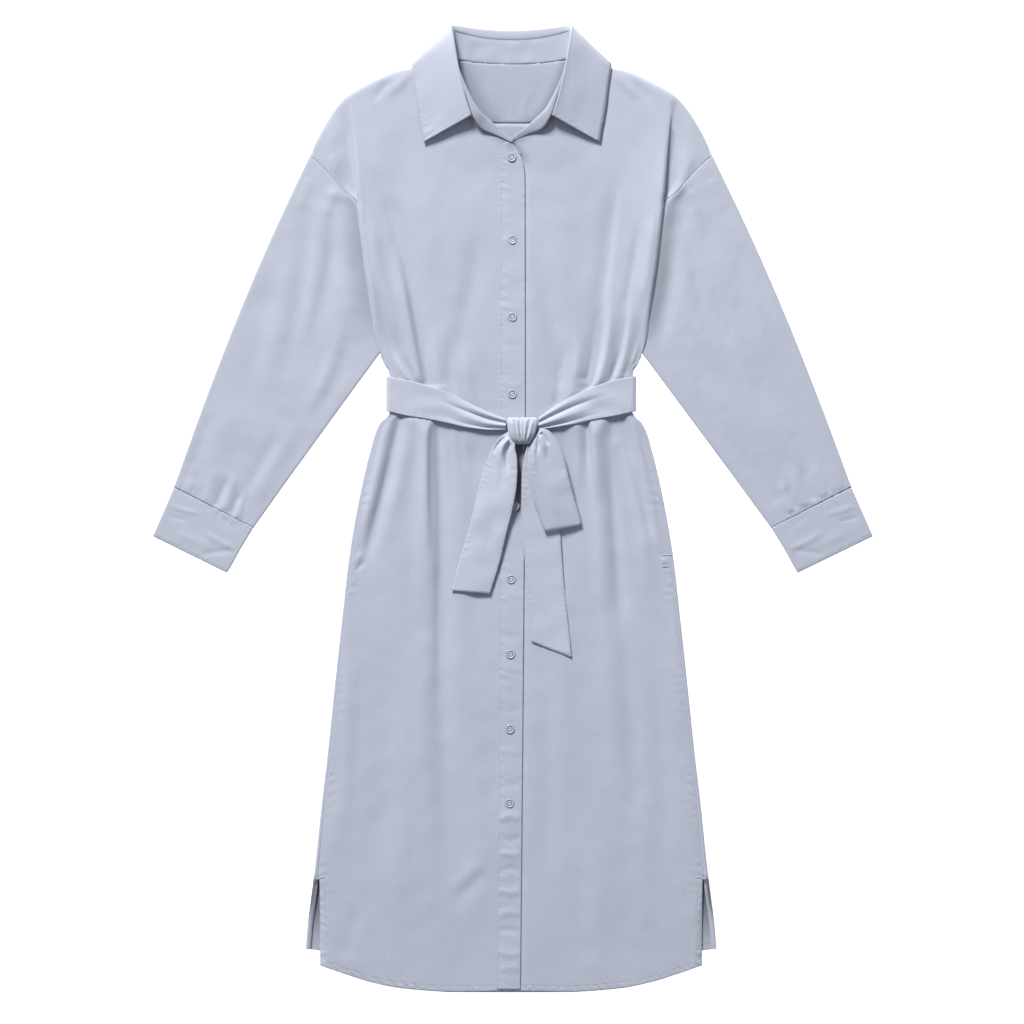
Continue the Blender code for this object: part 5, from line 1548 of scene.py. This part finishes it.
# ---------------------------------------------------------------------------
# The knot: the strip pulled round itself, broad at the top, narrower below, with
# the cloth drawn into upright pleats.
# ---------------------------------------------------------------------------
KNOT = (
    # y, centre_x, half_width, low_z, high_z
    (119.6, 14.6, 17.6, 11.0, 14.0),
    (118.2, 14.6, 19.4, 9.6, 17.2),
    (114.0, 14.6, 19.9, 8.6, 19.6),
    (108.0, 14.6, 19.4, 8.2, 20.6),
    (100.0, 14.4, 17.8, 8.2, 20.8),
    (94.0, 14.3, 15.4, 8.2, 20.0),
    (89.0, 14.2, 12.8, 8.4, 18.2),
    (86.2, 14.2, 10.8, 8.8, 15.8),
    (84.8, 14.2, 8.8, 10.0, 13.8),
)
KNOT_PLEATS = (
    # x1, y1, x2, y2, x3, y3, right_width, left_width, height, fade_in, fade_out
    (-1.0, 117.0, 4.0, 101.0, 9.4, 87.0, 1.6, 1.6, 1.1, 0.2, 0.1),
    (3.4, 118.0, 6.8, 102.0, 10.8, 87.0, 1.1, 1.3, -1.3, 0.1, 0.1),
    (7.0, 118.5, 9.2, 104.0, 12.0, 86.0, 1.5, 1.3, 1.0, 0.1, 0.1),
    (11.4, 119.4, 11.8, 108.0, 12.9, 86.0, 1.0, 1.0, -2.0, 0.0, 0.3),
    (13.6, 119.0, 13.8, 103.0, 14.2, 86.0, 1.1, 1.1, 1.0, 0.1, 0.1),
    (16.6, 119.0, 16.0, 104.0, 15.2, 86.0, 1.0, 1.2, -1.3, 0.1, 0.1),
    (20.0, 118.5, 18.4, 103.0, 16.6, 86.0, 1.4, 1.4, 1.0, 0.1, 0.1),
    (24.4, 118.0, 21.8, 102.0, 18.0, 87.0, 1.2, 1.4, -1.2, 0.1, 0.2),
    (28.6, 117.0, 25.0, 101.0, 19.8, 88.0, 1.6, 1.6, 1.0, 0.2, 0.2),
)
# Each ring is an ellipse made squarer: cosine and sine to the power 0.72
KNOT_SQUARENESS = 0.72
KNOT_COLUMNS = 160
knot_rows = rows_through(KNOT, 64)
knot_turn = np.linspace(0.0, 2.0 * math.pi, KNOT_COLUMNS + 1)[:-1]
knot_c = np.cos(knot_turn)
knot_s = np.sin(knot_turn)
knot_x = knot_rows[:, 1:2] + knot_rows[:, 2:3] * np.sign(knot_c) * np.abs(knot_c) ** KNOT_SQUARENESS
knot_y = np.repeat(knot_rows[:, :1], KNOT_COLUMNS, axis=1)
knot_middle = (knot_rows[:, 3:4] + knot_rows[:, 4:5]) / 2
knot_rise = (knot_rows[:, 4:5] - knot_rows[:, 3:4]) / 2
knot_z = knot_middle + knot_rise * np.sign(knot_s) * np.abs(knot_s) ** KNOT_SQUARENESS
knot_z = knot_z + 1.25 * creases(knot_x, knot_y, KNOT_PLEATS) * ease((knot_s + 0.1) / 0.5)
knot_grid = stack(knot_x, knot_y, knot_z)
knot_ends = [np.repeat(knot_grid[end].mean(0)[None], KNOT_COLUMNS, axis=0) for end in (0, -1)]
knot_grid = np.concatenate([knot_ends[0][None], knot_grid, knot_ends[1][None]])
knot = grid_mesh("knot_cloth", knot_grid, belt_cloth, closed=True)
knot.data.flip_normals()
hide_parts("belt_knot")
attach(knot, "root")


# ---------------------------------------------------------------------------
# The tails and the loop: the belt's free ends. They leave the knot in small
# pleats, open out flat, and are stitched along their edges. The right tail's
# end is hemmed square. The left tail lies under the loop, with a slanting end.
# ---------------------------------------------------------------------------
RIGHT_TAIL = (
    # right_x, right_y, right_z, left_x, left_y, left_z
    (-3.6, 101.2, 11.4, 5.0, 88.0, 13.4),
    (-15.6, 92.3, 11.2, 5.0, 80.0, 15.6),
    (-26.0, 76.1, 9.6, 7.8, 66.5, 15.6),
    (-32.5, 60.5, 8.4, 8.2, 52.0, 15.4),
    (-39.7, 37.1, 7.6, 7.4, 32.0, 15.0),
    (-46.8, 7.2, 7.4, 2.6, 4.0, 13.8),
    (-55.9, -30.6, 7.2, -5.6, -30.0, 11.4),
    (-66.3, -65.7, 7.2, -14.3, -67.0, 9.4),
    (-76.7, -106.0, 7.2, -27.3, -109.9, 8.0),
)
LEFT_TAIL = (
    # right_x, right_y, right_z, left_x, left_y, left_z
    (20.6, 81.5, 12.3, 47.0, 86.0, 9.0),
    (17.0, 67.0, 12.0, 55.0, 70.0, 8.2),
    (14.3, 46.2, 11.6, 59.0, 46.0, 7.8),
    (13.7, 18.9, 10.8, 61.0, 18.0, 7.6),
    (14.3, -11.1, 10.0, 63.0, -12.0, 7.4),
    (16.4, -41.0, 9.4, 65.0, -42.0, 7.4),
    (19.5, -94.3, 8.4, 69.0, -96.0, 7.2),
    (23.4, -136.0, 7.6, 74.0, -144.0, 7.2),
    (26.5, -171.6, 7.2, 79.0, -192.7, 7.2),
)
LOOP = (
    # right_x, right_y, right_z, left_x, left_y, left_z
    (33.5, 94.6, 18.4, 37.5, 106.0, 16.6),
    (27.6, 86.0, 20.0, 48.0, 103.0, 17.6),
    (24.0, 78.0, 20.8, 57.5, 92.0, 17.2),
    (23.4, 64.4, 20.6, 66.0, 75.0, 16.4),
    (26.0, 41.0, 20.0, 73.5, 47.0, 15.6),
    (32.0, 11.7, 17.8, 81.5, 16.0, 13.6),
    (38.5, -13.0, 15.6, 88.0, -6.0, 12.0),
    (43.4, -26.6, 13.8, 90.8, -17.6, 10.8),
    (44.2, -29.3, 11.6, 91.2, -19.8, 9.4),
    (43.0, -26.6, 10.0, 90.4, -17.4, 8.4),
    (37.0, -13.0, 9.8, 87.0, -6.0, 8.2),
    (28.6, 12.0, 12.4, 79.6, 16.0, 9.8),
    (22.8, 41.0, 13.8, 71.0, 47.0, 10.2),
    (21.6, 64.0, 14.4, 63.0, 74.0, 10.8),
    (23.8, 78.0, 14.6, 53.0, 90.0, 11.8),
    (30.2, 88.0, 14.4, 45.0, 100.0, 12.8),
)
RIGHT_TAIL_PLEATS = (
    # x1, y1, x2, y2, x3, y3, right_width, left_width, height, fade_in, fade_out
    (-3.0, 93.0, -12.0, 78.0, -13.0, 62.0, 2.4, 2.6, 2.6, 0.1, 0.5),
    (-8.0, 94.0, -17.0, 84.0, -24.0, 72.0, 2.0, 2.4, -1.8, 0.1, 0.5),
    (-1.0, 88.0, -6.0, 70.0, -5.0, 40.0, 2.6, 3.4, -2.2, 0.1, 0.5),
    (-14.0, 66.0, -12.0, 46.0, -10.0, 20.0, 4.0, 5.0, -1.2, 0.3, 0.5),
    (-34.0, 30.0, -40.0, 0.0, -52.0, -40.0, 8.0, 9.0, 0.7, 0.4, 0.4),
    (-16.0, 10.0, -26.0, -30.0, -38.0, -70.0, 7.0, 8.0, -0.6, 0.4, 0.4),
)
LOOP_PLEATS = (
    # x1, y1, x2, y2, x3, y3, right_width, left_width, height, fade_in, fade_out
    (34.0, 96.0, 35.0, 84.0, 32.0, 68.0, 1.8, 2.4, -2.4, 0.1, 0.6),
    (38.0, 100.0, 44.0, 92.0, 50.0, 82.0, 1.8, 2.2, -2.0, 0.1, 0.4),
    (36.0, 96.0, 41.0, 84.0, 46.0, 66.0, 2.6, 3.0, 1.6, 0.1, 0.5),
    (42.0, 84.0, 46.0, 72.0, 50.0, 56.0, 3.0, 3.6, -0.8, 0.3, 0.5),
    (30.0, 84.0, 29.0, 68.0, 32.0, 46.0, 2.6, 3.4, 1.0, 0.2, 0.5),
    (46.0, 46.0, 55.0, 18.0, 64.0, -10.0, 8.0, 9.0, 0.6, 0.4, 0.3),
)


def strip_piece(name, node, table, samples, rise, pleats, flat, share, rests_on):
    """A length of the belt between two edges, raised along its middle as a half sine.
    Pleats are laid on while the strip's first run goes down, before it folds back."""
    rows = rows_through(table, samples)
    across = np.linspace(0.0, 1.0, 26)
    grid = rows[:, None, 0:3] + (rows[:, None, 3:6] - rows[:, None, 0:3]) * across[None, :, None]
    grid[..., 2] += rise * np.sin(math.pi * across)
    first_run = (np.arange(samples) <= rows[:, 1].argmin())[:, None]
    grid[..., 2] += 1.3 * creases(grid[..., 0], grid[..., 1], pleats) * first_run
    run = distances(grid, 0)
    wide = distances(grid, 1)
    other_side = wide[:, -1:] - wide
    edge = np.minimum(np.minimum(wide, other_side), run[-1:] - run)
    open_part = ease(run[:, :1] / 60.0)
    wave = 0.22 * puckers(run[:, :1], wide, 7.0, 111)
    wave = wave + 0.22 * puckers(run[:, :1] + 40.0, other_side, 7.0, 112)
    wave = wave + 0.25 * drift(grid[..., 0], grid[..., 1], 38.0, 113)
    grid[..., 2] += wave * open_part * ease(edge / 1.5)
    made = poplin(f"poplin_{node}", BELT_BLUE, stitch_lines=(2.2,), tight=((3.0, 4.0, 4.5),), strip=True)
    cloth_piece(name, node, grid, made, flat, share, rests_on, wall=BELT_WALL, edge_mm=edge)


strip_piece(
    "tail_cloth_right",
    "belt_tail_right",
    RIGHT_TAIL,
    110,
    0.6,
    RIGHT_TAIL_PLEATS,
    (50.0, 222.0),
    0.95,
    ["front_cloth_right", "placket_cloth"],
)
strip_piece(
    "tail_cloth_left",
    "belt_tail_left",
    LEFT_TAIL,
    130,
    0.0,
    (),
    (50.0, 282.0),
    0.96,
    ["front_cloth_left"],
)
strip_piece(
    "loop_cloth",
    "belt_loop",
    LOOP,
    170,
    0.4,
    LOOP_PLEATS,
    (48.0, 268.0),
    0.9,
    ["tail_cloth_left"],
)


# ---------------------------------------------------------------------------
# The buttons: flat plastic shirt buttons turned with a raised rim, a sunk ring
# and a dimple in the middle where they are sewn on, dyed to the cloth.
# ---------------------------------------------------------------------------
BUTTONS = (
    # number, x, y
    (1, 0.8, 457.6),
    (2, 1.8, 350.4),
    (3, 1.8, 250.3),
    (4, 1.8, 150.2),
    (5, 5.2, 4.6),
    (6, 0.3, -90.4),
    (7, -0.6, -187.9),
    (8, -1.3, -285.4),
    (9, -1.9, -381.6),
)
BUTTON_PROFILE = (
    # radius, z
    (0.0, 0.55),
    (0.8, 0.7),
    (1.3, 1.1),
    (2.3, 1.1),
    (2.8, 0.6),
    (3.6, 0.55),
    (4.0, 1.2),
    (4.7, 1.5),
    (5.3, 1.4),
    (5.8, 1.05),
    (6.05, 0.7),
    (5.7, 0.3),
    (4.6, 0.0),
    (0.0, 0.0),
)


def button_finish():
    """Dyed plastic: softly glossy, the colour clouded by slow noise. Painted shade makes
    it darker in the dimple, the sunk ring and at the rim's foot, by bells over the
    distance from the button's middle."""
    made = bpy.data.materials.new("button_blue")
    made.use_nodes = True
    tree = made.node_tree
    start = Shade(tree)
    place = start.node("ShaderNodeTexCoord", {}, {}, 3)
    radius = start.node("ShaderNodeAttribute", {"attribute_name": "radius_mm"}, {}, 2)
    cloud = start.noise(place, 420.0, 2.0)
    tone = cloud.blend((0.50, 0.54, 0.66, 1.0), (0.60, 0.64, 0.75, 1.0))
    # Painted shade in the dimple, the sunk ring and at the rim's foot
    shade = radius.bell(3.2, 0.6) * 0.85 + radius.bell(0.0, 0.8) * 0.6 + radius.bell(6.1, 0.55) * 0.85
    tone = shade.blend(tone, (0.11, 0.13, 0.20, 1.0))
    shader = tree.nodes["Principled BSDF"]
    shader.inputs["Roughness"].default_value = 0.3
    shader.inputs["Specular IOR Level"].default_value = 0.45
    tree.links.new(tone.socket, shader.inputs["Base Color"])
    return made


BUTTON_RADIUS = 6.0
BUTTON_CLEAR = 0.9
profile = np.array(BUTTON_PROFILE)
profile_at = np.linspace(0, len(profile) - 1, 40)
radii = np.interp(profile_at, np.arange(len(profile)), profile[:, 0])[:, None]
rises = np.interp(profile_at, np.arange(len(profile)), profile[:, 1])[:, None]
around = np.linspace(0.0, 2.0 * math.pi, 41)[:-1]
ring = np.linspace(0.0, 2.0 * math.pi, 13)[:-1]
button_blue = button_finish()
for number, button_x, button_y in BUTTONS:
    rim_x = button_x + BUTTON_RADIUS * np.cos(ring)
    rim_y = button_y + BUTTON_RADIUS * np.sin(ring)
    base = front_height(rim_x, rim_y, ()).max() + BUTTON_CLEAR
    grid = stack(button_x + radii * np.cos(around), button_y + radii * np.sin(around), base + rises)
    made = grid_mesh(f"button_{number}_turned", grid, button_blue, closed=True, radius_mm=radii)
    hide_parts(f"button_{number}")
    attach(made, "root")


# ---------------------------------------------------------------------------
# Bar tacks: raised ribs of close thread across the ends of the left pocket's
# mouth, at the tops of the slits and at the end of the first buttonhole.
# ---------------------------------------------------------------------------
THREAD_BLUE = (0.45, 0.48, 0.58)
CORD_PITCH = 1.1
BARS = (
    # name, x1, y1, x2, y2, width, lift
    ("bar_pocket_upper", 196.5, -59.3, 209.0, -59.0, 2.2, 0.3),
    ("bar_pocket_lower", 196.5, -74.2, 207.5, -74.0, 2.2, 0.3),
    ("bar_slit_left", 240.6, -477.4, 253.8, -480.0, 2.8, 0.35),
    ("bar_slit_right", -241.0, -477.4, -253.6, -480.0, 2.8, 0.35),
    ("bar_buttonhole_first", 9.2, 463.6, 13.0, 463.2, 1.4, 1.5),
)


def bar_piece(name, x1, y1, x2, y2, width, lift):
    """A rib of thread from one point to the other, rounded at its ends and cut by the
    threads' grooves as a sine wave, at a lift above the level of the cloth under it."""
    length = math.hypot(x2 - x1, y2 - y1)
    along = np.linspace(0.0, 1.0, 70)[:, None]
    around = np.linspace(0.0, 2.0 * math.pi, 17)[None, :-1]
    taper = np.sqrt(np.clip(1.0 - (2.0 * along - 1.0) ** 12, 0.0, 1.0))
    cord = 1.0 + 0.14 * np.sin(along * length * 2.0 * math.pi / CORD_PITCH)
    sideways = width / 2.0 * np.cos(around) * taper * cord
    middle_x = x1 + (x2 - x1) * along
    middle_y = y1 + (y2 - y1) * along
    level = front_height(middle_x, middle_y, ())
    x = middle_x - (y2 - y1) / length * sideways
    y = middle_y + (x2 - x1) / length * sideways
    z = level + lift + 0.45 * np.sin(around) * taper * cord
    made = grid_mesh(name, stack(x, y, z), poplin(f"poplin_{name}", THREAD_BLUE), closed=True)
    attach(made, "root")


for bar in BARS:
    bar_piece(*bar)


# ---------------------------------------------------------------------------
# Where it lies: a plain white surface under a large soft light from above the
# collar and a little to the right sleeve's side, seen from straight above.
# ---------------------------------------------------------------------------
FLOOR_GLOW = 0.8
FLOOR_HALF = 6.0
FLOOR_Z = -0.3 * MM


def plain_white():
    """Matt white that also glows, so that the surface stays evenly white."""
    made = bpy.data.materials.new("plain_white")
    made.use_nodes = True
    shader = made.node_tree.nodes["Principled BSDF"]
    shader.inputs["Base Color"].default_value = (0.92, 0.92, 0.92, 1.0)
    shader.inputs["Roughness"].default_value = 0.9
    shader.inputs["Emission Color"].default_value = (1.0, 1.0, 1.0, 1.0)
    shader.inputs["Emission Strength"].default_value = FLOOR_GLOW
    return made


floor_mesh = bpy.data.meshes.new("floor")
floor_corners = [(x * FLOOR_HALF, y * FLOOR_HALF, FLOOR_Z) for x, y in ((-1, -1), (1, -1), (1, 1), (-1, 1))]
floor_mesh.from_pydata(floor_corners, [], [(0, 1, 2, 3)])
floor_mesh.materials.append(plain_white())
floor = bpy.data.objects.new("floor", floor_mesh)
bpy.context.scene.collection.objects.link(floor)

SOFTBOX_FROM = (-2.45, 6.7, 4.2)
softbox = bpy.data.lights.new("softbox", "AREA")
softbox.energy = 1020.0
softbox.size = 1.9
softbox.color = (1.0, 0.985, 0.96)
softbox_object = bpy.data.objects.new("softbox", softbox)
softbox_object.location = SOFTBOX_FROM
softbox_object.rotation_mode = "QUATERNION"
softbox_object.rotation_quaternion = Vector(SOFTBOX_FROM).to_track_quat("Z", "Y")
bpy.context.scene.collection.objects.link(softbox_object)

world = bpy.data.worlds.new("studio")
bpy.context.scene.world = world
world.use_nodes = True
around_it = world.node_tree.nodes["Background"]
around_it.inputs["Color"].default_value = (0.93, 0.97, 1.08, 1.0)
around_it.inputs["Strength"].default_value = 0.27

bpy.context.scene.view_settings.view_transform = "Standard"

CAMERA_X = 1.3 * MM
CAMERA_Y = -3.25 * MM
CAMERA_HEIGHT = 8.0
FRAME_WIDTH = 1.3312
SENSOR_WIDTH = 36.0
camera = bpy.data.cameras.new("camera")
camera.sensor_width = SENSOR_WIDTH
camera.lens = SENSOR_WIDTH * CAMERA_HEIGHT / FRAME_WIDTH
camera.clip_end = 100.0
camera_object = bpy.data.objects.new("camera", camera)
camera_object.location = (CAMERA_X, CAMERA_Y, CAMERA_HEIGHT)
bpy.context.scene.collection.objects.link(camera_object)
bpy.context.scene.camera = camera_object
